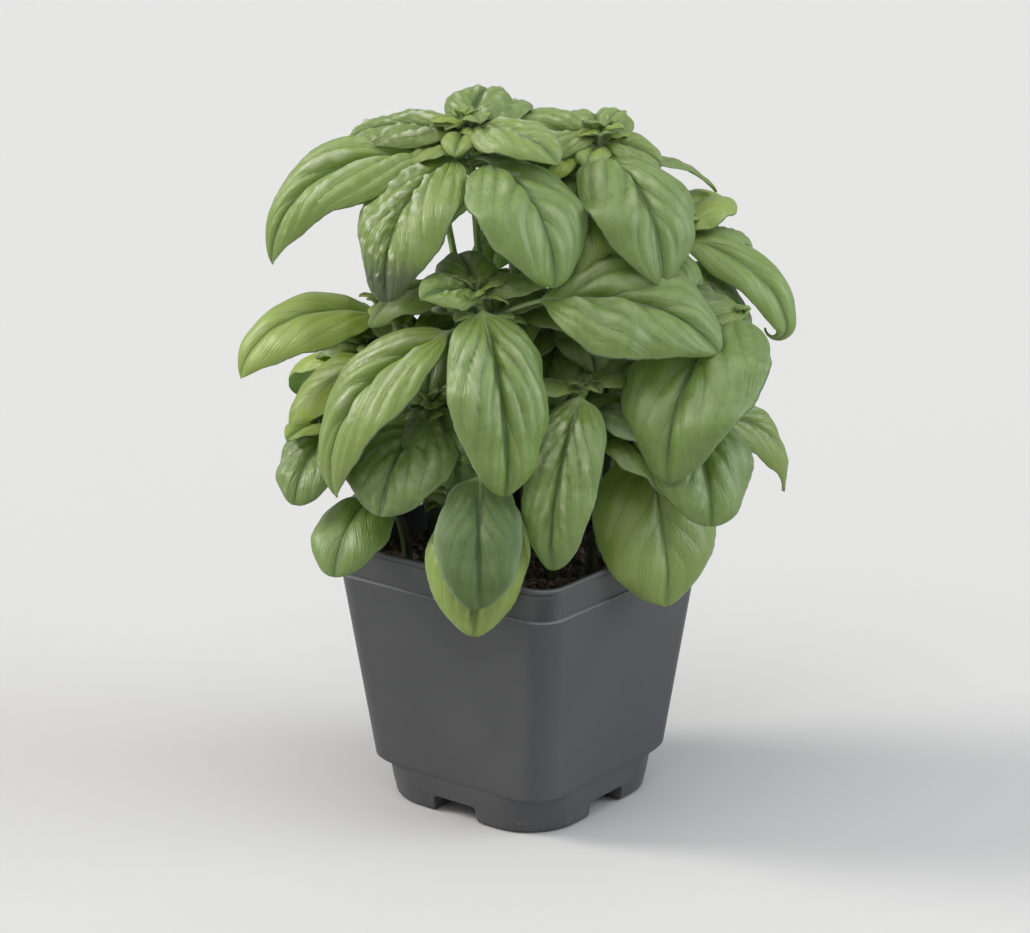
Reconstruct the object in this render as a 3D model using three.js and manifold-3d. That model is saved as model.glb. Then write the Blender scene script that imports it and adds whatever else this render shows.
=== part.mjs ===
// A potted basil plant: a square nursery pot of dark plastic, filled with soil, and the leafy stems
// that stand in it. Millimetres, +Z up, origin on the pot's axis at table height, with the pot's
// faces square to X and Y.

import * as THREE from 'three';
import { mergeVertices } from 'three/addons/utils/BufferGeometryUtils.js';
import Module from 'manifold-3d';

const wasm = await Module();
wasm.setup();

// Driving dimensions of the pot
const potHeight = 111.5;
const ledgeHalf = 55;             // half the pot's width at the ledge under its rim band
const footHalf = 43.7;            // half the width over the feet, at the table
const footTop = 18.5;             // height at which the body's corners stand out over the feet
const rimBand = 13.9;             // height of the plain band between the ledge and the top edge
const ledgeStep = 0.8;            // how far the band stands in from the ledge
const lipHeight = 1.9;
const lipProud = 0.6;
const bodyRadius = 11;            // corner radius of the body, seen from above
const footRadius = 24;
const wall = 1.3;
const channelHalf = 11;           // half the width of the cross-shaped channel between the feet
const channelHeight = 7.5;
const footChamfer = 2.6;
const drainRadius = 2.6;
const drainReach = [16, 35];      // distances of the drain holes from the pot's axis

// Driving dimensions of the soil
const soilDepth = 11;             // how far the soil lies below the pot's top edge
const soilGap = 0.3;              // clearance to the pot and round each stem
const soilBump = 1.7;
const soilCells = 20;

// Driving dimensions of the plant
const plantTurn = 37.5;           // degrees from the pot's faces to the side the plant is listed from
const stemFootRadius = 2.1;
const stemTopRadius = 1.25;
const stemDepth = 26;             // how deep a stem reaches into the soil
const stemSides = 6;
const stemSteps = 6;
const stalkHalf = 1.1;            // half the width of a leaf's stalk
const stalkThick = 0.85;          // half its thickness
const bladeThick = 0.36;          // half the thickness of a leaf's blade
const stalkLift = 35;             // degrees by which a stalk leaves the stem steeper than its blade
const smallLeaf = 33;             // a blade shorter than this counts as a small leaf
const waves = 2.5;                // waves along each edge of a blade
const midribSteps = 40;

const soilTop = potHeight - soilDepth;
const radians = Math.PI / 180;

// Solids

function solidOf(geometry) {
  const bare = geometry.index ? geometry : mergeVertices(geometry);
  return new wasm.Manifold(new wasm.Mesh({
    numProp: 3,
    vertProperties: new Float32Array(bare.attributes.position.array),
    triVerts: new Uint32Array(bare.index.array),
  }));
}

function plainSolid(geometry) {
  geometry.deleteAttribute('normal');
  geometry.deleteAttribute('uv');
  return solidOf(mergeVertices(geometry, 1e-4));
}

function indexed(points, triangles) {
  const geometry = new THREE.BufferGeometry();
  geometry.setAttribute('position', new THREE.Float32BufferAttribute(points.flatMap((p) => p.toArray()), 3));
  geometry.setIndex(triangles.flat());
  return geometry;
}

function meshOf(name, solid, material) {
  const cut = solid.getMesh();
  const geometry = new THREE.BufferGeometry();
  geometry.setAttribute('position', new THREE.Float32BufferAttribute(cut.vertProperties, 3));
  geometry.setIndex(new THREE.Uint32BufferAttribute(cut.triVerts, 1));
  geometry.computeVertexNormals();
  const mesh = new THREE.Mesh(geometry, material);
  mesh.name = name;
  return mesh;
}

// Closed skin through rings of points that all have the same count, with a flat fan at both ends
function loft(rings) {
  const count = rings[0].length;
  const points = rings.flat();
  const triangles = [];
  for (let ring = 0; ring + 1 < rings.length; ring += 1) {
    for (let side = 0; side < count; side += 1) {
      const next = (side + 1) % count;
      const low = ring * count;
      const high = low + count;
      triangles.push([low + side, low + next, high + next], [low + side, high + next, high + side]);
    }
  }
  const last = (rings.length - 1) * count;
  for (let side = 1; side + 1 < count; side += 1) {
    triangles.push([0, side + 1, side], [last, last + side, last + side + 1]);
  }
  return indexed(points, triangles);
}

// Pot

// Outline of a square with rounded corners, from above
function squareRing(half, radius, z) {
  const points = [];
  const cornerSteps = 6;
  for (let corner = 0; corner < 4; corner += 1) {
    for (let step = 0; step <= cornerSteps; step += 1) {
      const angle = (corner + step / cornerSteps) * Math.PI / 2;
      const centre = (corner + 0.5) * Math.PI / 2;
      points.push(new THREE.Vector3(
        Math.sign(Math.cos(centre)) * (half - radius) + radius * Math.cos(angle),
        Math.sign(Math.sin(centre)) * (half - radius) + radius * Math.sin(angle),
        z,
      ));
    }
  }
  return points;
}

// Half the pot's width at a height, on the straight taper from the table to the ledge
function bodyHalf(z) {
  return footHalf + (ledgeHalf - footHalf) * z / (potHeight - rimBand);
}

// The two arms of the cross-shaped channel under the pot, wider at the table; grow moves every face
// of them outward
function channelCross(grow) {
  const wide = channelHalf + grow;
  const top = channelHeight + grow;
  const arm = new THREE.Shape();
  arm.moveTo(-wide - footChamfer, -1);
  arm.lineTo(wide + footChamfer, -1);
  arm.lineTo(wide + footChamfer, 0);
  arm.lineTo(wide, footChamfer);
  arm.lineTo(wide, top - 2);
  arm.lineTo(wide - 2, top);
  arm.lineTo(-wide + 2, top);
  arm.lineTo(-wide, top - 2);
  arm.lineTo(-wide, footChamfer);
  arm.lineTo(-wide - footChamfer, 0);
  const length = 2.4 * footHalf;
  const along = new THREE.ExtrudeGeometry(arm, { depth: length, bevelEnabled: false });
  along.translate(0, 0, -length / 2);
  along.rotateX(Math.PI / 2);
  const across = along.clone();
  across.rotateZ(Math.PI / 2);
  return plainSolid(along).add(plainSolid(across));
}

// The space inside the pot, down to the hollow feet; gap moves every face of it inward
function potInside(gap) {
  const inset = wall + gap;
  const foot = footRadius - inset;
  const rings = [
    squareRing(bodyHalf(0) - inset - 1.5, foot - 1.5, inset),
    squareRing(bodyHalf(2.5) - inset, foot, inset + 2.5),
    squareRing(bodyHalf(footTop) - inset, foot, footTop + inset),
    squareRing(bodyHalf(footTop + 4) - inset, bodyRadius, footTop + inset + 4),
    squareRing(bodyHalf(potHeight + 2) - ledgeStep - inset, bodyRadius - inset, potHeight + 2),
  ];
  return solidOf(loft(rings)).subtract(channelCross(inset));
}

function potSolid() {
  const ledge = potHeight - rimBand;
  const lip = potHeight - lipHeight;
  const bandTop = bodyHalf(potHeight) - ledgeStep;
  const rings = [
    squareRing(bodyHalf(0) - footChamfer, footRadius - footChamfer, 0),
    squareRing(bodyHalf(0) - 0.8, footRadius - 0.8, 0.8),
    squareRing(bodyHalf(0), footRadius, footChamfer),
    squareRing(bodyHalf(footTop), footRadius, footTop - 2.5),
    squareRing(bodyHalf(footTop), bodyRadius + 1.5, footTop - 0.6),
    squareRing(bodyHalf(footTop), bodyRadius, footTop),
    squareRing(ledgeHalf, bodyRadius, ledge),
    squareRing(ledgeHalf - ledgeStep, bodyRadius, ledge + 0.3),
    squareRing(bandTop - 0.2, bodyRadius, lip - 0.4),
    squareRing(bandTop - 0.2, bodyRadius, lip),
    squareRing(bandTop + lipProud, bodyRadius, lip + 0.4),
    squareRing(bandTop + lipProud, bodyRadius, potHeight - 0.5),
    squareRing(bandTop + lipProud - 0.5, bodyRadius, potHeight),
  ];
  let pot = solidOf(loft(rings)).subtract(channelCross(0)).subtract(potInside(0));
  for (const reach of drainReach) {
    for (let arm = 0; arm < 4; arm += 1) {
      const drain = new THREE.CylinderGeometry(drainRadius, drainRadius, 12, 10);
      drain.rotateX(Math.PI / 2);
      drain.translate(reach, 0, channelHeight);
      drain.rotateZ(arm * Math.PI / 2);
      pot = pot.subtract(plainSolid(drain));
    }
  }
  return pot;
}

// Soil

// Height of the crumbly surface over a point
function soilHeight(x, y) {
  const crumbs = Math.sin(0.41 * x + 1.3) * Math.cos(0.37 * y - 0.6)
    + 0.7 * Math.sin(0.83 * x - 0.57 * y + 2.1)
    + 0.5 * Math.cos(0.67 * x + 1.07 * y);
  return soilTop + soilBump * crumbs / 1.6;
}

function soilBlock() {
  const points = [];
  const triangles = [];
  const across = soilCells + 1;
  const reach = ledgeHalf + 2;
  for (let row = 0; row < across; row += 1) {
    for (let column = 0; column < across; column += 1) {
      const x = reach * (2 * column / soilCells - 1);
      const y = reach * (2 * row / soilCells - 1);
      points.push(new THREE.Vector3(x, y, soilHeight(x, y)));
    }
  }
  const low = points.length;
  for (let point = 0; point < low; point += 1) {
    points.push(points[point].clone().setZ(-1));
  }
  for (let row = 0; row < soilCells; row += 1) {
    for (let column = 0; column < soilCells; column += 1) {
      const a = row * across + column;
      const b = a + across;
      triangles.push([a, a + 1, b + 1], [a, b + 1, b]);
      triangles.push([low + a, low + b + 1, low + a + 1], [low + a, low + b, low + b + 1]);
    }
  }
  for (let step = 0; step < soilCells; step += 1) {
    const front = step;
    const back = soilCells * across + step;
    const left = step * across;
    const right = left + soilCells;
    triangles.push([low + front, low + front + 1, front + 1], [low + front, front + 1, front]);
    triangles.push([low + back + 1, low + back, back], [low + back + 1, back, back + 1]);
    triangles.push([low + left + across, low + left, left], [low + left + across, left, left + across]);
    triangles.push([low + right, low + right + across, right + across], [low + right, right + across, right]);
  }
  return solidOf(indexed(points, triangles));
}

// Plant
// Everything from here to the end of the leafy stems is listed as seen from the side that the plant
// is looked at from: x to the right, y away and z up.

// Each stem rises straight out of its foot in the soil and leans over to its crown. Its outer leaves
// are listed from the top down, and then the inner ones that fill the shade behind them, each with
// these values: height of its joint on the stem, direction (0 right, 90 away), stalk length, blade
// length, blade width, rise of the blade at its base, droop from base to tip, and roll, where a
// positive roll lifts the left side of the blade as seen along it.
const stems = {
  top_left: {
    foot: [-12, -6],
    crown: [-21, -4, 280],
    leaves: [
      [279, 75, 3, 36, 28, 34, 60, 0],
      [277, -34, 3, 44, 32, 10, 55, 12],
      [276, 172, 5, 46, 26, 10, 42, -25],
      [275, 58, 6, 36, 28, 24, 50, 0],
      [262, -172, 16, 88, 38, 6, 98, -30],
      [262, 98, 14, 58, 44, 6, 82, 0],
      [269, -133, 12, 60, 45, -20, 88, 0],
      [267, -54, 17, 62, 48, -16, 80, 0],
    ],
    inner: [
      [202, -60, 4, 34, 28, 20, 74, 0],
      [202, 130, 4, 34, 28, 20, 74, 0],
      [209, -160, 14, 40, 33, 10, 74, 0],
      [202, -20, 14, 40, 33, 10, 74, 0],
    ],
  },
  top_right: {
    foot: [12, 6],
    crown: [32, 6, 274],
    leaves: [
      [272, 96, 3, 36, 32, 23, 55, 0],
      [272, -174, 3, 43, 32, 16, 44, -28],
      [270, -4, 3, 25, 22, 2, 62, 22],
      [267, -60, 7, 67, 47, -14, 80, 0],
      [257, 30, 18, 46, 24, 0, 56, 5],
      [258, 84, 15, 58, 44, 4, 84, 0],
      [238, -140, 6, 38, 30, -6, 70, 0],
      [200, -72, 6, 27, 22, 0, 74, 0],
    ],
    inner: [
      [244, -100, 7, 44, 38, 0, 74, 0],
      [255, -150, 5, 30, 24, 4, 60, 0],
      [190, -110, 7, 33, 28, -20, 74, 0],
      [258, 160, 14, 40, 33, 10, 74, 0],
      [250, 130, 8, 36, 30, 8, 80, 0],
    ],
  },
  front: {
    foot: [-6, -26],
    crown: [-17, -41, 221],
    leaves: [
      [220, -146, 2, 26, 22, 24, 50, -30],
      [220, 14, 2, 28, 20, 22, 45, 10],
      [218, 108, 3, 34, 26, 36, 45, 0],
      [217, -74, 7, 78, 42, -40, 68, 0],
      [207, -168, 15, 82, 42, -24, 80, -22],
      [207, -4, 27, 74, 48, 8, 60, 36],
      [204, 55, 10, 38, 28, 24, 60, 0],
    ],
    inner: [
      [180, 70, 6, 32, 28, -14, 74, 0],
    ],
  },
  front_right: {
    foot: [13, -28],
    crown: [25, -42, 184],
    leaves: [
      [182, -112, 5, 70, 37, -44, 56, 0],
      [183, 38, 3, 21, 19, 16, 45, 0],
      [181, 168, 3, 27, 22, 14, 50, 0],
      [160, -14, 12, 46, 34, -8, 70, 0],
    ],
    inner: [
      [153, 120, 5, 38, 32, 20, 74, 0],
    ],
  },
  low_left: {
    foot: [-46, -5],
    crown: [-79, -8, 160],
    leaves: [
      [159, -132, 2, 22, 18, 14, 50, 0],
      [158, 40, 2, 26, 20, 20, 50, 0],
      [157, -116, 3, 38, 28, -14, 72, 0],
      [128, -116, 14, 44, 34, -4, 80, 0],
      [138, 130, 8, 40, 28, 10, 70, 0],
    ],
    inner: [],
  },
  right: {
    foot: [34, 12],
    crown: [60, 12, 235],
    leaves: [
      [232, 50, 3, 40, 34, 34, 64, 0],
      [233, 165, 3, 26, 20, 18, 45, 0],
      [230, -16, 6, 68, 34, -8, 96, 28],
      [208, 80, 12, 46, 38, 4, 78, 0],
      [196, 30, 8, 34, 28, 0, 80, 0],
      [226, -88, 8, 34, 30, -4, 70, 0],
    ],
    inner: [
      [226, 34, 10, 40, 33, 10, 74, 0],
      [181, 167, 7, 34, 28, 0, 74, 0],
      [146, -40, 7, 34, 28, -20, 74, 0],
      [230, 162, 4, 34, 28, 20, 74, 0],
      [214, 2, 6, 38, 32, 8, 88, 0],
    ],
  },
  front_far_right: {
    foot: [36, -12],
    crown: [90, -12, 208],
    leaves: [
      [206, 168, 2, 28, 25, 26, 62, 0],
      [206, -150, 2, 20, 17, 8, 60, 0],
      [205, -122, 7, 84, 58, -12, 86, 0],
      [170, -72, 14, 58, 46, -14, 76, 0],
      [160, 22, 24, 60, 28, -10, 90, 40],
      [184, 176, 8, 33, 28, 0, 74, 0],
    ],
    inner: [
      [174, -120, 7, 34, 28, 0, 74, 0],
      [167, 178, 4, 36, 30, 20, 74, 0],
      [202, 150, 4, 34, 28, 20, 74, 0],
    ],
  },
  left: {
    foot: [-28, 5],
    crown: [-54, 2, 206],
    leaves: [
      [205, 75, 3, 30, 22, 16, 50, 0],
      [204, -70, 2, 20, 15, 14, 50, 0],
      [198, -164, 9, 68, 38, 14, 92, -25],
      [194, 112, 12, 54, 42, 4, 78, 0],
      [178, 178, 12, 53, 43, -6, 74, -10],
    ],
    inner: [
      [188, 80, 4, 46, 38, 20, 74, 0],
      [118, 160, 14, 40, 33, 10, 74, 0],
    ],
  },
  low_right: {
    foot: [28, -22],
    crown: [52, -24, 158],
    leaves: [
      [157, 30, 3, 30, 22, 10, 55, 0],
      [156, 158, 3, 28, 20, 10, 55, 0],
      [155, -73, 5, 62, 54, -52, 44, 0],
    ],
    inner: [],
  },
  low_front: {
    foot: [-12, -38],
    crown: [-15, -50, 156],
    leaves: [
      [155, -100, 10, 53, 32, -38, 50, 0],
      [146, -106, 5, 58, 42, -46, 42, 0],
      [152, 20, 3, 24, 18, 10, 50, 0],
    ],
    inner: [],
  },
  low_front_left: {
    foot: [-26, -20],
    crown: [-35, -24, 172],
    leaves: [
      [171, -72, 3, 40, 34, -16, 66, 0],
      [164, -126, 9, 46, 40, -12, 72, 0],
      [165, 70, 3, 24, 20, 0, 70, 0],
    ],
    inner: [
      [160, 160, 4, 34, 28, 20, 74, 0],
      [132, 120, 4, 30, 25, 20, 74, 0],
    ],
  },
  back_left: {
    foot: [-16, 20],
    crown: [-32, 36, 244],
    leaves: [
      [243, 160, 3, 34, 24, 16, 50, 0],
      [242, -10, 3, 30, 22, 16, 50, 0],
      [238, 105, 12, 66, 50, 2, 90, 0],
      [234, 122, 12, 52, 42, 4, 88, 0],
      [206, 66, 12, 60, 46, -4, 84, 0],
      [192, -106, 14, 44, 26, 0, 80, 0],
    ],
    inner: [
      [139, 140, 14, 46, 38, 10, 74, 0],
      [202, 100, 14, 34, 28, -12, 74, 0],
      [195, 40, 14, 34, 28, -12, 74, 0],
    ],
  },
  back_right: {
    foot: [14, 28],
    crown: [22, 40, 234],
    leaves: [
      [233, 80, 3, 34, 24, 14, 50, 0],
      [232, -100, 3, 29, 20, 16, 50, 0],
      [228, 18, 12, 49, 42, 4, 88, 0],
      [226, 128, 12, 58, 46, 0, 88, 0],
      [196, 60, 12, 52, 44, -2, 84, 0],
      [186, -130, 12, 34, 26, 0, 80, 0],
      [202, -60, 10, 34, 22, 4, 78, 0],
    ],
    inner: [
      [181, 60, 14, 34, 28, -12, 74, 0],
      [153, 80, 7, 34, 28, -20, 74, 0],
      [220, 56, 8, 42, 36, 8, 80, 0],
    ],
  },
  far_right: {
    foot: [38, 22],
    crown: [58, 24, 180],
    leaves: [
      [179, 160, 5, 36, 30, 4, 76, 0],
      [178, -60, 3, 30, 22, 12, 50, 0],
      [174, 50, 8, 35, 30, 4, 86, 0],
      [152, 104, 10, 46, 40, 0, 84, 0],
    ],
    inner: [
      [153, 100, 7, 44, 36, -20, 74, 0],
      [125, 80, 12, 40, 34, -12, 74, 0],
      [167, 178, 7, 32, 26, 0, 74, 0],
    ],
  },
  far_left: {
    foot: [-36, 20],
    crown: [-64, 30, 182],
    leaves: [
      [181, 60, 3, 30, 22, 14, 50, 0],
      [179, 172, 2, 22, 18, 12, 50, 0],
      [172, 142, 8, 48, 38, 4, 88, 0],
      [156, -176, 8, 38, 32, 0, 84, 0],
      [150, 84, 10, 46, 40, 0, 84, 0],
      [146, -100, 8, 31, 26, 0, 80, 0],
    ],
    inner: [
      [160, 36, 7, 34, 28, 0, 74, 0],
    ],
  },
  low_back: {
    foot: [2, 44],
    crown: [0, 54, 172],
    leaves: [
      [171, -12, 5, 42, 32, 2, 70, 0],
      [170, 170, 3, 29, 20, 12, 50, 0],
      [166, 52, 8, 44, 40, 0, 88, 0],
      [164, 132, 10, 50, 42, 0, 88, 0],
      [144, -96, 10, 36, 26, 0, 80, 0],
    ],
    inner: [
      [125, -178, 14, 46, 38, 10, 74, 0],
      [125, 130, 7, 34, 28, 0, 74, 0],
    ],
  },
};

// Draws that come out the same each time, between -1 and 1
function makeDraw(seed) {
  let state = seed;
  return () => {
    state = (state * 1664525 + 1013904223) % 4294967296;
    return state / 2147483648 - 1;
  };
}

// Point on a stem's middle line at a height
function stemPoint(stem, z) {
  const climb = Math.max(0, (z - soilTop) / (stem.crown[2] - soilTop));
  return new THREE.Vector3(
    stem.foot[0] + (stem.crown[0] - stem.foot[0]) * climb * climb,
    stem.foot[1] + (stem.crown[1] - stem.foot[1]) * climb * climb,
    z,
  );
}

// A stem's tapering outside; grow widens and lengthens it into the hole that it stands in
function stemSolid(stem, grow) {
  const heights = [soilTop - stemDepth - grow];
  for (let step = 0; step <= stemSteps; step += 1) {
    heights.push(soilTop + (stem.crown[2] - soilTop) * step / stemSteps);
  }
  const rings = heights.map((z) => {
    const climb = Math.max(0, (z - soilTop) / (stem.crown[2] - soilTop));
    const radius = stemFootRadius + (stemTopRadius - stemFootRadius) * climb + grow;
    const centre = stemPoint(stem, z);
    const ring = [];
    for (let side = 0; side < stemSides; side += 1) {
      const angle = 2 * Math.PI * side / stemSides;
      ring.push(new THREE.Vector3(radius * Math.cos(angle), radius * Math.sin(angle), 0).add(centre));
    }
    return ring;
  });
  return solidOf(loft(rings));
}

// Share of its full width that a blade has at a place between its base, 0, and its tip, 1
function bladeShape(place) {
  return Math.sin(Math.PI * place ** 0.8) ** 0.6 * (1 - 0.1 * place ** 6);
}

// How a leaf's middle line lies at a distance along it from the stem
function midribLie(leaf, sway, distance) {
  const [, toward, stalk, long, , rise, droop, roll] = leaf;
  const reach = Math.max(0, (distance - stalk) / long);
  const stalkLeft = Math.max(0, 1 - distance / stalk);
  const pitch = (rise + stalkLift * stalkLeft - droop * reach ** 1.5) * radians;
  const heading = (toward + sway * reach) * radians;
  const turn = roll * Math.min(1, distance / (stalk + 0.25 * long)) * radians;
  const ahead = new THREE.Vector3(
    Math.cos(pitch) * Math.cos(heading),
    Math.cos(pitch) * Math.sin(heading),
    Math.sin(pitch),
  );
  const level = new THREE.Vector3(-Math.sin(heading), Math.cos(heading), 0);
  const above = ahead.clone().cross(level);
  return {
    ahead,
    side: level.clone().multiplyScalar(Math.cos(turn)).addScaledVector(above, Math.sin(turn)),
    up: above.clone().multiplyScalar(Math.cos(turn)).addScaledVector(level, -Math.sin(turn)),
  };
}

// Points at even steps along a leaf's middle line
function midribPoints(stem, leaf, sway) {
  const length = leaf[2] + leaf[3];
  const points = [stemPoint(stem, leaf[0])];
  for (let step = 0; step < midribSteps; step += 1) {
    const { ahead } = midribLie(leaf, sway, length * (step + 0.5) / midribSteps);
    points.push(points[step].clone().addScaledVector(ahead, length / midribSteps));
  }
  return points;
}

// A leaf as one closed sheet: its two faces share the rim, the root in the stem and the tip. Each
// half of the blade rises from the sunken midrib and curves down to a waved edge. Small and inner
// leaves have fewer facets.
function leafSolid(stem, leaf, draw, inner) {
  const [, , stalk, long, wide] = leaf;
  const sway = 9 * draw();
  const fold = (26 + 5 * draw()) * radians;
  const cup = (48 + 8 * draw()) * radians;
  const wave = 0.035 * wide * (1 + 0.4 * draw());
  const phase = Math.PI * draw();
  const middle = midribPoints(stem, leaf, sway);
  const small = inner || long < smallLeaf;
  const halfColumns = small ? 1 : 2;
  const bladePlaces = small ? [0.14, 0.5, 0.84] : [0.07, 0.23, 0.44, 0.66, 0.84, 0.95];
  const distances = [Math.min(stalk, 3), ...bladePlaces.map((place) => stalk + long * place)];
  if (stalk > 9) {
    distances.splice(1, 0, 0.6 * stalk);
  }

  function pointAt(distance, across, face) {
    const along = distance / (stalk + long) * midribSteps;
    const before = Math.min(midribSteps - 1, Math.floor(along));
    const point = middle[before].clone().lerp(middle[before + 1], along - before);
    const { side, up } = midribLie(leaf, sway, distance);
    const place = Math.max(0, (distance - stalk) / long);
    const half = Math.max(stalkHalf, wide / 2 * bladeShape(Math.min(1, place)));
    const opened = Math.min(1, place * 6);
    const bend = (fold + cup) * opened + 0.001;
    const start = fold * opened;
    const out = Math.abs(across);
    const sign = Math.sign(across);
    const lateral = half * (Math.sin(start) - Math.sin(start - bend * out)) / bend;
    const raised = half * (Math.cos(start - bend * out) - Math.cos(start)) / bend;
    const waved = wave * opened * out * out * Math.sin(2 * Math.PI * waves * place + phase * sign);
    const slope = start - bend * out;
    const thick = (bladeThick + (stalkThick - bladeThick) * Math.max(0, 1 - place * 5)) * face;
    return point
      .addScaledVector(side, sign * (lateral - thick * Math.sin(slope)))
      .addScaledVector(up, raised + waved + thick * Math.cos(slope));
  }

  const points = [middle[0], middle[midribSteps]];
  const triangles = [];
  const columns = 2 * halfColumns + 1;
  const rows = distances.map((distance) => {
    const upper = [];
    const lower = [];
    for (let column = 0; column < columns; column += 1) {
      const across = column / halfColumns - 1;
      const rim = Math.abs(across) === 1;
      upper.push(points.length);
      points.push(pointAt(distance, across, rim ? 0 : 1));
      lower.push(rim ? upper[column] : points.length);
      if (!rim) {
        points.push(pointAt(distance, across, -1));
      }
    }
    return { upper, lower };
  });
  for (const face of ['upper', 'lower']) {
    const put = (a, b, c) => triangles.push(face === 'upper' ? [a, b, c] : [a, c, b]);
    const first = rows[0][face];
    const last = rows[rows.length - 1][face];
    for (let column = 0; column + 1 < columns; column += 1) {
      put(0, first[column], first[column + 1]);
      put(1, last[column + 1], last[column]);
      for (let row = 0; row + 1 < rows.length; row += 1) {
        const near = rows[row][face];
        const far = rows[row + 1][face];
        if (column < halfColumns) {
          put(near[column], far[column], near[column + 1]);
          put(near[column + 1], far[column], far[column + 1]);
        } else {
          put(near[column], far[column], far[column + 1]);
          put(near[column], far[column + 1], near[column + 1]);
        }
      }
    }
  }
  return solidOf(indexed(points, triangles));
}

function leafyStemSolid(stem, draw, innerDraw) {
  let solid = stemSolid(stem, 0);
  for (const leaf of stem.leaves) {
    solid = solid.add(leafSolid(stem, leaf, draw, false));
  }
  for (const leaf of stem.inner) {
    solid = solid.add(leafSolid(stem, leaf, innerDraw, true));
  }
  return solid;
}

// Scene

const plastic = new THREE.MeshStandardMaterial({ color: 0x4d4d50, roughness: 0.5, metalness: 0 });
const earth = new THREE.MeshStandardMaterial({ color: 0x33211a, roughness: 1, metalness: 0 });
const leafGreen = new THREE.MeshStandardMaterial({ color: 0x5f8a3c, roughness: 0.5, metalness: 0 });

const pottedBasil = new THREE.Group();
pottedBasil.add(meshOf('pot', potSolid(), plastic));

const plant = new THREE.Group();
plant.rotation.z = plantTurn * radians;
const draw = makeDraw(5309);
const innerDraw = makeDraw(1721);
let soil = potInside(soilGap).intersect(soilBlock());
for (const [place, stem] of Object.entries(stems)) {
  plant.add(meshOf(`stem_${place}`, leafyStemSolid(stem, draw, innerDraw), leafGreen));
  soil = soil.subtract(stemSolid(stem, soilGap).rotate(0, 0, plantTurn));
}
pottedBasil.add(meshOf('soil', soil, earth));
pottedBasil.add(plant);

export default pottedBasil;
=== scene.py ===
import math

import bpy
import numpy as np
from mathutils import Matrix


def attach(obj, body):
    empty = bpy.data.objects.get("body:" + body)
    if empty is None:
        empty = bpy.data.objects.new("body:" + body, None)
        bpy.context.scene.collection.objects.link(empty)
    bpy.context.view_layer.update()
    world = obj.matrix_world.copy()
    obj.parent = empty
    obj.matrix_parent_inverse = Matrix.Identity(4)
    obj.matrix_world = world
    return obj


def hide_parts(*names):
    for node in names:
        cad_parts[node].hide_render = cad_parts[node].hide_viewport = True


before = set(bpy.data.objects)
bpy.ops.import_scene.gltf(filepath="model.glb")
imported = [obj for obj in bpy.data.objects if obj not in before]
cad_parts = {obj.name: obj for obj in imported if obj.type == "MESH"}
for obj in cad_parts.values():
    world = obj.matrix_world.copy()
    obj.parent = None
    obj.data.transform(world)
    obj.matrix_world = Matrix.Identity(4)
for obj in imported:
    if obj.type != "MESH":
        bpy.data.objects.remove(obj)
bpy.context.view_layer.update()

# A potted basil plant. Shapes are worked out in millimetres and scaled to metres when a mesh is made.
metres = 0.001


# Tools for meshes

def makeObject(name, points, faces):
    mesh = bpy.data.meshes.new(name)
    mesh.from_pydata((np.asarray(points) * metres).tolist(), [], faces)
    mesh.update()
    made = bpy.data.objects.new(name, mesh)
    bpy.context.scene.collection.objects.link(made)
    return made


def addValues(mesh, name, values):
    # three numbers a point, read by the Attribute nodes of the materials
    held = mesh.attributes.new(name, "FLOAT_VECTOR", "POINT")
    held.data.foreach_set("vector", np.asarray(values, dtype=np.float32).ravel())


def loft(rings):
    # closed skin through rings of points that all have the same count, with a flat face at both ends
    across = len(rings[0])
    faces = []
    for low in range(0, (len(rings) - 1) * across, across):
        for side in range(across):
            following = (side + 1) % across
            faces.append((low + side, low + following, low + across + following, low + across + side))
    last = (len(rings) - 1) * across
    faces.append(tuple(range(across - 1, -1, -1)))
    faces.append(tuple(range(last, last + across)))
    return np.concatenate(rings), faces


def bakeModifiers(target):
    # makes what the modifiers show the object's own mesh
    seen = target.evaluated_get(bpy.context.evaluated_depsgraph_get())
    mesh = bpy.data.meshes.new_from_object(seen)
    target.modifiers.clear()
    target.data = mesh


def cutAway(target, cutters):
    # takes the cutters out of the target for good, and deletes them
    for cutter in cutters:
        step = target.modifiers.new("cut", "BOOLEAN")
        step.operation = "DIFFERENCE"
        step.solver = "EXACT"
        step.object = cutter
    bakeModifiers(target)
    for cutter in cutters:
        bpy.data.objects.remove(cutter)


def ripples(x, y, seed, longest, shortest, count=9):
    # an uneven surface of height about 1, out of waves of these lengths
    draw = np.random.default_rng(seed)
    height = np.zeros_like(x)
    for length in np.geomspace(longest, shortest, count):
        turn = draw.uniform(0, 2 * math.pi)
        along = (x * math.cos(turn) + y * math.sin(turn)) * 2 * math.pi / length
        height += np.sin(along + draw.uniform(0, 2 * math.pi)) * (length / longest) ** 0.6
    return height / math.sqrt(count / 2)


# Tools for materials

class Wire:
    # a node's output that takes part in Python arithmetic
    def __init__(self, finish, socket):
        self.finish = finish
        self.socket = socket

    def math(self, operation, *others):
        return self.finish.math(operation, self, *others)

    def __add__(self, other):
        return self.math("ADD", other)

    def __sub__(self, other):
        return self.math("SUBTRACT", other)

    def __rsub__(self, other):
        return self.finish.math("SUBTRACT", other, self)

    def __mul__(self, other):
        return self.math("MULTIPLY", other)

    def __truediv__(self, other):
        return self.math("DIVIDE", other)

    def __rtruediv__(self, other):
        return self.finish.math("DIVIDE", other, self)

    def __abs__(self):
        return self.math("ABSOLUTE")

    __radd__ = __add__
    __rmul__ = __mul__


def color(red, green, blue):
    return (red, green, blue, 1.0)


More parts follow.
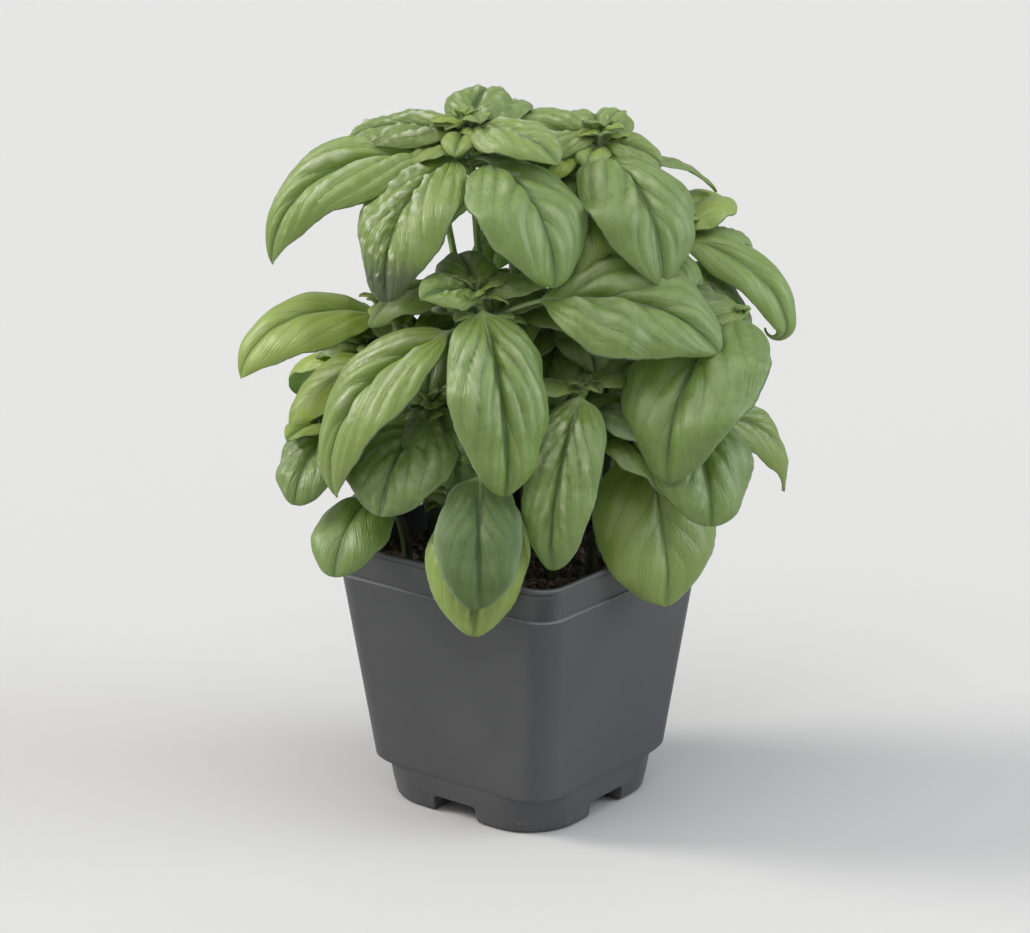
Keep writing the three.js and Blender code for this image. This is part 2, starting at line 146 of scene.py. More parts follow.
class Finish:
    # a material, and what its nodes are made with
    def __init__(self, name):
        self.material = bpy.data.materials.new(name)
        self.material.use_nodes = True
        self.tree = self.material.node_tree
        self.tree.nodes.clear()

    def add(self, kind, settings=None, values=None, output=0):
        node = self.tree.nodes.new(kind)
        for key, value in (settings or {}).items():
            setattr(node, key, value)
        for key, value in (values or {}).items():
            if isinstance(value, Wire):
                self.tree.links.new(value.socket, node.inputs[key])
            else:
                node.inputs[key].default_value = value
        return Wire(self, node.outputs[output]) if node.outputs else None

    def math(self, operation, *values):
        return self.add("ShaderNodeMath", {"operation": operation}, dict(enumerate(values)))

    def stored(self, name):
        # the three numbers that a mesh holds for each point under this name
        vector = self.add("ShaderNodeAttribute", {"attribute_name": name}, output="Vector")
        parts = self.add("ShaderNodeSeparateXYZ", values={0: vector}).socket.node
        return [Wire(self, parts.outputs[axis]) for axis in range(3)]

    def place(self):
        return self.add("ShaderNodeTexCoord", output="Object")

    def height(self, where):
        return self.add("ShaderNodeSeparateXYZ", values={0: where}, output=2)

    def point(self, x, y, z):
        return self.add("ShaderNodeCombineXYZ", values={0: x, 1: y, 2: z})

    def mix(self, share, first, second, way="MIX"):
        # first and second are colours: three numbers, or the output of a node
        settings = {"data_type": "RGBA", "blend_type": way}
        first, second = (tint if isinstance(tint, Wire) else color(*tint) for tint in (first, second))
        return self.add("ShaderNodeMix", settings, {0: share, 6: first, 7: second}, 2)

    def ease(self, value, low, high, start=0.0, end=1.0):
        # goes smoothly from start to end while the value goes from low to high
        settings = {"interpolation_type": "SMOOTHSTEP"}
        return self.add("ShaderNodeMapRange", settings, {0: value, 1: low, 2: high, 3: start, 4: end})

    def noise(self, where, scale, detail=3.0, roughness=0.55):
        values = {"Vector": where, "Scale": scale, "Detail": detail, "Roughness": roughness}
        return self.add("ShaderNodeTexNoise", values=values)

    def bump(self, height, strength, distance):
        values = {"Height": height, "Strength": strength, "Distance": distance}
        return self.add("ShaderNodeBump", values=values)

    def surface(self, **values):
        named = {key.replace("_", " "): value for key, value in values.items()}
        return self.add("ShaderNodeBsdfPrincipled", values=named)

    def done(self, surface):
        self.add("ShaderNodeOutputMaterial", values={"Surface": surface})
        return self.material


# Pot: dark grey moulded plastic, a tapered square with a rim band, corner feet and a channel under it

pot = {
    "height": 111.5,
    "ledgeHalf": 55.0,  # half the width at the ledge under the rim band
    "footHalf": 43.7,  # and at the table
    "footTop": 18.5,
    "rimBand": 13.9,  # height of the band above the ledge
    "ledgeStep": 0.8,  # how far the band stands back from the ledge
    "lipHeight": 1.9,
    "lipProud": 0.6,
    "lipRound": 0.45,  # rounding of the lip's lower edge
    "rimRound": 0.7,
    "bodyRadius": 11.0,
    "footRadius": 24.0,
    "wall": 1.3,
    "channelHalf": 11.0,
    "channelHeight": 7.5,
    "footRound": 2.6,
    "drainRadius": 2.6,
    "drainReach": (16.0, 35.0),  # from the pot's middle, along each arm of the channel
    "drainPoints": 28,
    "edgeRound": 0.3,
    "roundedFrom": 48.0,  # degrees between two faces from which their edge is rounded
    "sharpFrom": 40.0,  # and from which it is shaded as an edge
    "plastic": (0.048, 0.049, 0.052),
    "plasticWorn": (0.074, 0.075, 0.078),
    # painted highlight colour for the ledge and the rim's top edge
    "plasticHighlight": (0.16, 0.16, 0.165),
    "dust": (0.2, 0.17, 0.14),
    # painted shade colour for the inner wall
    "insideShade": (0.007, 0.006, 0.006),
    "roughness": 0.4,
}


def bodyHalf(z):
    # half the pot's width at a height, on the straight taper from the table to the ledge
    return pot["footHalf"] + (pot["ledgeHalf"] - pot["footHalf"]) * z / (pot["height"] - pot["rimBand"])


def squareRing(half, radius, z, cornerSteps=14):
    # outline of a square with rounded corners, from above
    ring = []
    for corner in range(4):
        centre = (corner + 0.5) * math.pi / 2
        for step in range(cornerSteps + 1):
            angle = (corner + step / cornerSteps) * math.pi / 2
            x = math.copysign(half - radius, math.cos(centre)) + radius * math.cos(angle)
            y = math.copysign(half - radius, math.sin(centre)) + radius * math.sin(angle)
            ring.append((x, y, z))
    return np.array(ring)


def quarter(steps):
    # points of a quarter circle from (1, 0) to (0, 1)
    turns = [step / steps * math.pi / 2 for step in range(steps + 1)]
    return [(math.cos(turn), math.sin(turn)) for turn in turns]


def roundPoints(count, section=1.0):
    # points round a circle of radius 1, or of a radius that changes round it
    turns = np.arange(count) * 2 * math.pi / count
    return np.stack((np.cos(turns) * section, np.sin(turns) * section, 0 * turns), axis=1)


def channelArms(grow):
    # the two arms of the cross-shaped channel under the pot, flared at the table
    wide = pot["channelHalf"] + grow
    top = pot["channelHeight"] + grow
    flare = pot["footRound"]
    side = [(wide + flare, -1.0)]
    side += [(wide + flare - flare * s, flare - flare * c) for c, s in quarter(5)]
    side += [(wide - 2 + 2 * c, top - 2 + 2 * s) for c, s in quarter(4)]
    outline = side + [(-x, z) for x, z in reversed(side)]
    length = 1.2 * pot["footHalf"]
    arms = []
    for crossing in (False, True):
        ends = []
        for end in (-length, length):
            ends.append(np.array([(end, x, z) if crossing else (x, -end, z) for x, z in outline]))
        arms.append(makeObject("channelArm", *loft(ends)))
    return arms


def insideRings(gap, top):
    # the space inside the pot, down to the hollow feet
    inset = pot["wall"] + gap
    foot = pot["footRadius"] - inset
    footTop = pot["footTop"]
    rows = [(bodyHalf(0) - inset - 1.5, foot - 1.5, inset)]
    rows += [(bodyHalf(0) - inset - 0.4, foot - 0.4, inset + 0.5)]
    rows += [(bodyHalf(2.5) - inset, foot, inset + 2.5), (bodyHalf(footTop) - inset, foot, footTop + inset)]
    rows += [(bodyHalf(footTop + 4) - inset, pot["bodyRadius"], footTop + inset + 4)]
    rows += [(bodyHalf(top) - pot["ledgeStep"] - inset, pot["bodyRadius"] - inset, top)]
    return [squareRing(*row) for row in rows]


def outerRings():
    # the pot's outside, from the rounded feet up to the rim
    footHalf, footTop, footRadius = pot["footHalf"], pot["footTop"], pot["footRadius"]
    radius, footRound = pot["bodyRadius"], pot["footRound"]
    ledge = pot["height"] - pot["rimBand"]
    lip = pot["height"] - pot["lipHeight"]
    band = bodyHalf(pot["height"]) - pot["ledgeStep"]
    proud = band + pot["lipProud"]
    lipRound, rimRound = pot["lipRound"], pot["rimRound"]
    rows = []
    for c, s in reversed(quarter(6)):
        inset = footRound * (1 - c)
        rows.append((footHalf - inset, footRadius - inset, footRound * (1 - s)))
    rows += [(bodyHalf(z), footRadius, z) for z in (8.0, 13.0, footTop - 2.5)]
    for share in (0.25, 0.5, 0.75, 0.92, 1.0):
        z = footTop - 2.5 + 2.1 * share ** 1.6
        rows.append((bodyHalf(z), footRadius + (radius - footRadius) * math.sin(share * math.pi / 2), z))
    rows.append((bodyHalf(footTop), radius, footTop))
    rows += [(bodyHalf(z), radius, z) for z in np.linspace(24.0, ledge - 1.2, 7)]
    for c, s in quarter(4):
        rows.append((pot["ledgeHalf"] - 0.25 * (1 - c), radius, ledge - 0.4 + 0.4 * s))
    rows.append((pot["ledgeHalf"] - pot["ledgeStep"] + 0.05, radius, ledge + 0.03))
    rows.append((pot["ledgeHalf"] - pot["ledgeStep"], radius, ledge + 0.1))
    rows += [(bodyHalf(z) - pot["ledgeStep"], radius, z) for z in (ledge + 5, ledge + 9)]
    rows += [(band - 0.1, radius, lip - 0.7)]
    rows += [(band - 0.3, radius, lip - 0.35), (band - 0.3, radius, lip - 0.05)]
    for c, s in quarter(3):
        rows.append((proud - lipRound * (1 - s), radius, lip + lipRound - lipRound * c))
    for c, s in quarter(5):
        rows.append((proud - rimRound * (1 - c), radius, pot["height"] - rimRound + rimRound * s))
    return [squareRing(*row) for row in rows]


def potPlastic():
    f = Finish("potPlastic")
    inside = f.stored("potInside")[0]
    where = f.place()
    mottle = f.noise(where, 18.0, 4.0)
    grain = f.noise(where, 1500.0, 2.0)
    flow = f.noise(where, 60.0, 3.0)
    height = f.height(where) * 1000  # millimetres
    dustLow = f.ease(height, 0.0, 30.0, 0.5, 0.0)
    dustSpots = f.ease(f.noise(where, 240.0, 4.0), 0.56, 0.74)
    worn = f.ease(mottle, 0.35, 0.7, 0.0, 0.32)
    base = f.mix(worn, pot["plastic"], pot["plasticWorn"])
    base = f.mix(dustSpots * (0.05 + dustLow * 0.3), base, pot["dust"])
    # painted highlight: a pale, patchy line along the ledge under the rim band and along the rim's top edge
    toLedge = abs(height - (pot["height"] - pot["rimBand"] - 0.1))
    ledgeHighlight = f.ease(toLedge, 0.2, 0.7, 0.75, 0.0) * f.ease(flow, 0.25, 0.6, 0.6, 1.0)
    rimTopHighlight = f.ease(height, pot["height"] - 0.9, pot["height"] - 0.3, 0.0, 0.35)
    base = f.mix(ledgeHighlight.math("MAXIMUM", rimTopHighlight), base, pot["plasticHighlight"])
    # painted shade: the inner wall above the feet is darkened almost to black
    base = f.mix(inside * 0.92, base, pot["insideShade"])
    rough = pot["roughness"] + 0.12 * mottle + 0.08 * flow + 0.12 * dustSpots + 0.4 * inside
    normal = f.bump(grain * 0.5 + flow * 0.6, 0.12, 0.0004)
    return f.done(f.surface(Base_Color=base, Roughness=rough, Normal=normal))


def insideShare(points):
    # 1 for the points of the inner wall and 0 for those of the outer one, fading in above the feet
    x, y, z = np.abs(points).T
    radius = np.where(z > pot["footTop"] - 1, pot["bodyRadius"], pot["footRadius"])
    over = [np.maximum(away - bodyHalf(z) + radius, 0) for away in (x, y)]
    depth = radius - np.hypot(*over)
    return np.clip((depth - 1.0) / 0.3, 0, 1) * np.clip((z - 30) / 20, 0, 1)


def makePot():
    shell = makeObject("herb_pot", *loft(outerRings()))
    hollow = makeObject("potHollow", *loft(insideRings(0.0, pot["height"] + 2)))
    cutAway(hollow, channelArms(pot["wall"]))
    cutters = channelArms(0.0) + [hollow]
    for reach in pot["drainReach"]:
        for arm in range(4):
            angle = arm * math.pi / 2
            spot = np.array((reach * math.cos(angle), reach * math.sin(angle), 0.0))
            circle = pot["drainRadius"] * roundPoints(pot["drainPoints"])
            cutters.append(makeObject("drain", *loft([circle + spot + (0, 0, z) for z in (4.0, 13.0)])))
    cutAway(shell, cutters)
    rounding = shell.modifiers.new("edges", "BEVEL")
    rounding.width = pot["edgeRound"] * metres
    rounding.segments = 2
    rounding.limit_method = "ANGLE"
    rounding.angle_limit = math.radians(pot["roundedFrom"])
    bakeModifiers(shell)
    shell.data.shade_smooth()
    shell.data.set_sharp_from_angle(angle=math.radians(pot["sharpFrom"]))
    inside = insideShare(np.array([point.co for point in shell.data.vertices]) / metres)
    addValues(shell.data, "potInside", np.repeat(inside[:, None], 3, axis=1))
    shell.data.materials.append(potPlastic())
    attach(shell, "root")
    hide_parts("pot")


makePot()
print("pot made")


# Soil: dark and crumbly, level a little below the rim

soil = {
    "depth": 11.0,  # how far it lies below the pot's top edge
    "gap": 0.3,  # between the soil and the pot
    "bump": 1.7,
    "sharpFrom": 50.0,
    "ringPoints": 176,
    "topRings": 52,
    "crumbs": 1150,
    "fibres": 110,
    "crumbSeed": 71,
    "smallestCrumb": 0.45,
    "crumbsVary": 1.15,
    "black": (0.026, 0.019, 0.015),
    "brown": (0.155, 0.088, 0.06),
    "pale": (0.32, 0.23, 0.16),
}
soilTop = pot["height"] - soil["depth"]


def soilHeight(x, y):
    # the uneven top of the solid part's soil, with finer crumbs on it
    crumbs = np.sin(0.41 * x + 1.3) * np.cos(0.37 * y - 0.6)
    crumbs = crumbs + 0.7 * np.sin(0.83 * x - 0.57 * y + 2.1) + 0.5 * np.cos(0.67 * x + 1.07 * y)
    fine = 0.55 * ripples(x, y, 11, 6.0, 1.6)
    return soilTop + soil["bump"] * crumbs / 1.6 + fine


def evenRing(ring, count):
    # the same outline with so many points, spread evenly
    closed = np.concatenate((ring, ring[:1]))
    steps = np.concatenate(([0], np.cumsum(np.linalg.norm(np.diff(closed, axis=0), axis=1))))
    wanted = np.linspace(0, steps[-1], count, endpoint=False)
    return np.stack([np.interp(wanted, steps, closed[:, axis]) for axis in range(3)], axis=1)


def soilEarth():
    f = Finish("soilEarth")
    where = f.place()
    tone, kind = f.stored("crumbTone")[::2]
    clods = f.noise(where, 260.0, 5.0, 0.65)
    grit = f.noise(where, 1400.0, 3.0, 0.6)
    brown = f.mix(f.ease(clods + tone * 0.3, 0.42, 0.72), soil["black"], soil["brown"])
    base = f.mix(kind * f.ease(grit, 0.35, 0.7, 0.4, 1.0), brown, soil["pale"])
    base = f.mix(f.ease(grit, 0.62, 0.8, 0.0, 0.35), base, soil["pale"])
    rough = 0.72 + 0.25 * clods
    normal = f.bump(clods * 0.7 + grit * 0.5, 0.8, 0.0008)
    return f.done(f.surface(Base_Color=base, Roughness=rough, Normal=normal))


def makeSoil():
    # fills the pot from its feet up, with rings that shrink towards the middle for its top
    rings = [evenRing(ring, soil["ringPoints"]) for ring in insideRings(soil["gap"], soilTop + 1.0)]
    edge = rings[-1].copy()
    rings[-1][:, 2] = soilHeight(edge[:, 0], edge[:, 1]) - 0.6
    for step in range(1, soil["topRings"]):
        ring = edge * (1 - step / soil["topRings"])
        ring[:, 2] = soilHeight(ring[:, 0], ring[:, 1])
        rings.append(ring)
    block = makeObject("soil_bed", *loft(rings))
    cutAway(block, channelArms(pot["wall"] + soil["gap"]))
    block.data.shade_smooth()
    block.data.set_sharp_from_angle(angle=math.radians(soil["sharpFrom"]))
    addValues(block.data, "crumbTone", np.zeros((len(block.data.vertices), 3)))
    return block


def turned(points, angle, first, second):
    # the points turned by an angle from one axis towards another
    made = points.copy()
    made[:, first] = points[:, first] * math.cos(angle) - points[:, second] * math.sin(angle)
    made[:, second] = points[:, first] * math.sin(angle) + points[:, second] * math.cos(angle)
    return made


def crumbShape():
    # the points and faces of a small round lump
    golden = (1 + math.sqrt(5)) / 2
    points = [(-1, golden, 0), (1, golden, 0), (-1, -golden, 0), (1, -golden, 0)]
    points += [(0, -1, golden), (0, 1, golden), (0, -1, -golden), (0, 1, -golden)]
    points += [(golden, 0, -1), (golden, 0, 1), (-golden, 0, -1), (-golden, 0, 1)]
    faces = [(0, 11, 5), (0, 5, 1), (0, 1, 7), (0, 7, 10), (0, 10, 11), (1, 5, 9), (5, 11, 4), (11, 10, 2)]
    faces += [(10, 7, 6), (7, 1, 8), (3, 9, 4), (3, 4, 2), (3, 2, 6), (3, 6, 8), (3, 8, 9), (4, 9, 5)]
    faces += [(2, 4, 11), (6, 2, 10), (8, 6, 7), (9, 8, 1)]
    points = [np.array(p) / np.linalg.norm(p) for p in points]
    split = []
    middles = {}

    def middle(a, b):
        key = (min(a, b), max(a, b))
        if key not in middles:
            halfway = points[a] + points[b]
            points.append(halfway / np.linalg.norm(halfway))
            middles[key] = len(points) - 1
        return middles[key]

    for a, b, c in faces:
        ab, bc, ca = middle(a, b), middle(b, c), middle(c, a)
        split += [(a, ab, ca), (b, bc, ab), (c, ca, bc), (ab, bc, ca)]
    return np.array(points), np.array(split)


def makeCrumbs():
    # loose crumbs and fibres that lie on the soil, none outside the pot's rounded corners
    draw = np.random.default_rng(soil["crumbSeed"])
    ball, faces = crumbShape()
    reach = bodyHalf(soilTop) - pot["ledgeStep"] - pot["wall"] - 1.2
    points, allFaces, tones = [], [], []
    for number in range(soil["crumbs"] + soil["fibres"]):
        fibre = number >= soil["crumbs"]
        spot = draw.uniform(-reach, reach, 2)
        size = soil["smallestCrumb"] + soil["crumbsVary"] * draw.random() ** 2.2
        stretch = np.array((1.0, draw.uniform(0.6, 0.95), draw.uniform(0.5, 0.85))) * size
        if fibre:
            stretch = np.array((draw.uniform(2.2, 5.0), draw.uniform(0.22, 0.4), draw.uniform(0.15, 0.3)))
        lump = ball * (1 + draw.uniform(-0.2, 0.2, (len(ball), 1))) * stretch
        turn, tilt = draw.uniform(0, 2 * math.pi), draw.uniform(-0.35, 0.35)
        lump = turned(turned(lump, tilt, 0, 2), turn, 0, 1)
        corner = reach - pot["bodyRadius"]
        over = np.maximum(np.abs(spot) - corner, 0)
        if math.hypot(*over) > pot["bodyRadius"]:
            continue
        margin = reach - np.max(np.abs(spot))
        lump *= min(1.0, 0.55 + margin / 4)
        z = soilHeight(spot[0], spot[1]) + stretch[2] * draw.uniform(-0.3, 0.5)
        allFaces.append(faces + len(ball) * len(points))
        points.append(lump + (spot[0], spot[1], z))
        pale = draw.uniform(0.3, 0.9) if fibre else max(0.0, draw.uniform(-3.2, 0.8))
        tones.append(np.tile((draw.uniform(-1, 1), draw.random(), pale), (len(ball), 1)))
    crumbs = makeObject("soil_crumbs", np.concatenate(points), np.concatenate(allFaces).tolist())
    crumbs.data.shade_smooth()
    addValues(crumbs.data, "crumbTone", np.concatenate(tones))
    return crumbs


def addSoil():
    earth = soilEarth()
    for piece in (makeSoil(), makeCrumbs()):
        piece.data.materials.append(earth)
        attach(piece, "root")
        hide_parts("soil")


addSoil()
print("soil made")


# Basil. The plant is listed as it is seen by the camera: x to the right, y away and z up, turned
# from the pot's faces by the angle called turn.

plant = {
    "turn": 37.5,  # degrees from the pot's faces to the camera's view
    "leafSeed": 5309,
    "innerSeed": 1721,
    "fineSeed": 1203,
    "stemFootRadius": 2.1,
    "stemTopRadius": 1.25,
    "stemDepth": 26.0,  # how far a stem goes down into the soil
    "stemSides": 24,
    "stemRow": 2.2,
    "jointSwell": 0.22,  # how much a stem thickens where a leaf joins it
    "stalkHalf": 1.1,  # half the width of a stalk
    "stalkThick": 0.85,  # half the thickness of a stalk
    "bladeThick": 0.2,  # half the thickness of a blade
    "stalkLift": 35.0,  # degrees that a stalk leaves the stem steeper than its blade goes on
    "sway": 9.0,  # degrees that a leaf may bend sideways
    "fold": (30.0, 5.0),  # degrees that a blade's halves rise from its midrib, and how that varies
    "cup": (52.0, 8.0),  # degrees that each half bends over to its rim, and how that varies
    "waves": 2.5,  # waves along the rim
    "waveHeight": 0.02,  # as a share of the blade's width
    "teeth": 15,
    "veins": 4.4,  # side veins in a whole blade's length
    "veinLean": 0.8,  # how far along the blade a side vein runs before it meets the edge
    "veinArch": 1.25,
    "pillow": 0.046,  # height of the swelling between two veins, as a share of the blade's width
    "swell": 0.5,  # height of the broad unevenness of a blade
    "swellSpan": (34.0, 15.0),  # its longest and shortest waves
    "midribDip": 1.2,
    "midribRib": 0.8,  # height of the rib under a blade
    "veinRib": 0.22,
    "blister": 0.95,  # height of the blisters on the most crinkled leaf
    "blisterSpan": (6.5, 3.2),
    "patchSpan": (16.0, 7.0),  # of the paler and darker patches of the painted highlight and shade on its swellings
    "fuller": 1.07,  # width against the solid part's leaves, which stand a little less bowed
    "rowsPerMm": 0.77,
    "columnsPerMm": 0.8,
    "rowLimits": (12, 120),
    "columnLimits": (5, 34),  # in half a blade
    "innerFineness": 0.6,
    "youngFineness": 0.68,
    "crownLeaves": 8,
    "crownSize": (16.0, 1.5),  # length of a crown's outermost leaf, and how much shorter each next one is
    "crownTurn": 97,  # degrees round the stem from each to the next
    "shootSize": (7, 16),
    "smallestWithShoots": 33,  # a shorter leaf has no side shoots in its corner
    "deepGreen": (0.092, 0.166, 0.024),
    "brightGreen": (0.165, 0.262, 0.04),
    "paleGreen": (0.212, 0.312, 0.072),
    "freshGreen": (0.35, 0.47, 0.055),
    "yellowGreen": (0.35, 0.46, 0.004),
    "patchGreen": (0.21, 0.31, 0.075),
    # painted highlight on a blade's swellings
    "crestHighlight": (0.46, 0.52, 0.29),
    "blisterHighlight": (0.64, 0.68, 0.47),  # painted highlight on the blisters of a crinkled leaf
    # painted shade in the valleys between the swellings
    "valleyShade": (0.45, 0.54, 0.32),
    # painted shade over leaves set in shade, and a painted sheen on their rims
    "deepShade": (0.42, 0.49, 0.26),
    "shadedRimSheen": (0.25, 0.34, 0.17),
    # painted sheen along every leaf's rim
    "rimSheenGreen": (0.30, 0.42, 0.16),
    "netGreen": (0.23, 0.35, 0.11),
    # painted shade along the midrib and side veins
    "creaseShade": (0.42, 0.5, 0.4),
    "midribGreen": (0.34, 0.45, 0.17),
    # a darker patch at a leaf's tip
    "darkTipGreen": (0.03, 0.05, 0.035),
    "underGreen": (0.22, 0.32, 0.12),
    "underPatch": (0.26, 0.37, 0.15),
    "underVein": (0.36, 0.46, 0.22),
    "stalkGreen": (0.22, 0.34, 0.09),
    "stalkPale": (0.3, 0.42, 0.14),
    "throughGreen": (0.40, 0.58, 0.10),  # daylight seen through a blade
    "stemGreen": (0.15, 0.27, 0.06),
    "stemPale": (0.27, 0.40, 0.12),
    "stemBark": (0.22, 0.17, 0.09),
    # painted shade low on the stems
    "stemShade": (0.022, 0.03, 0.012),
}
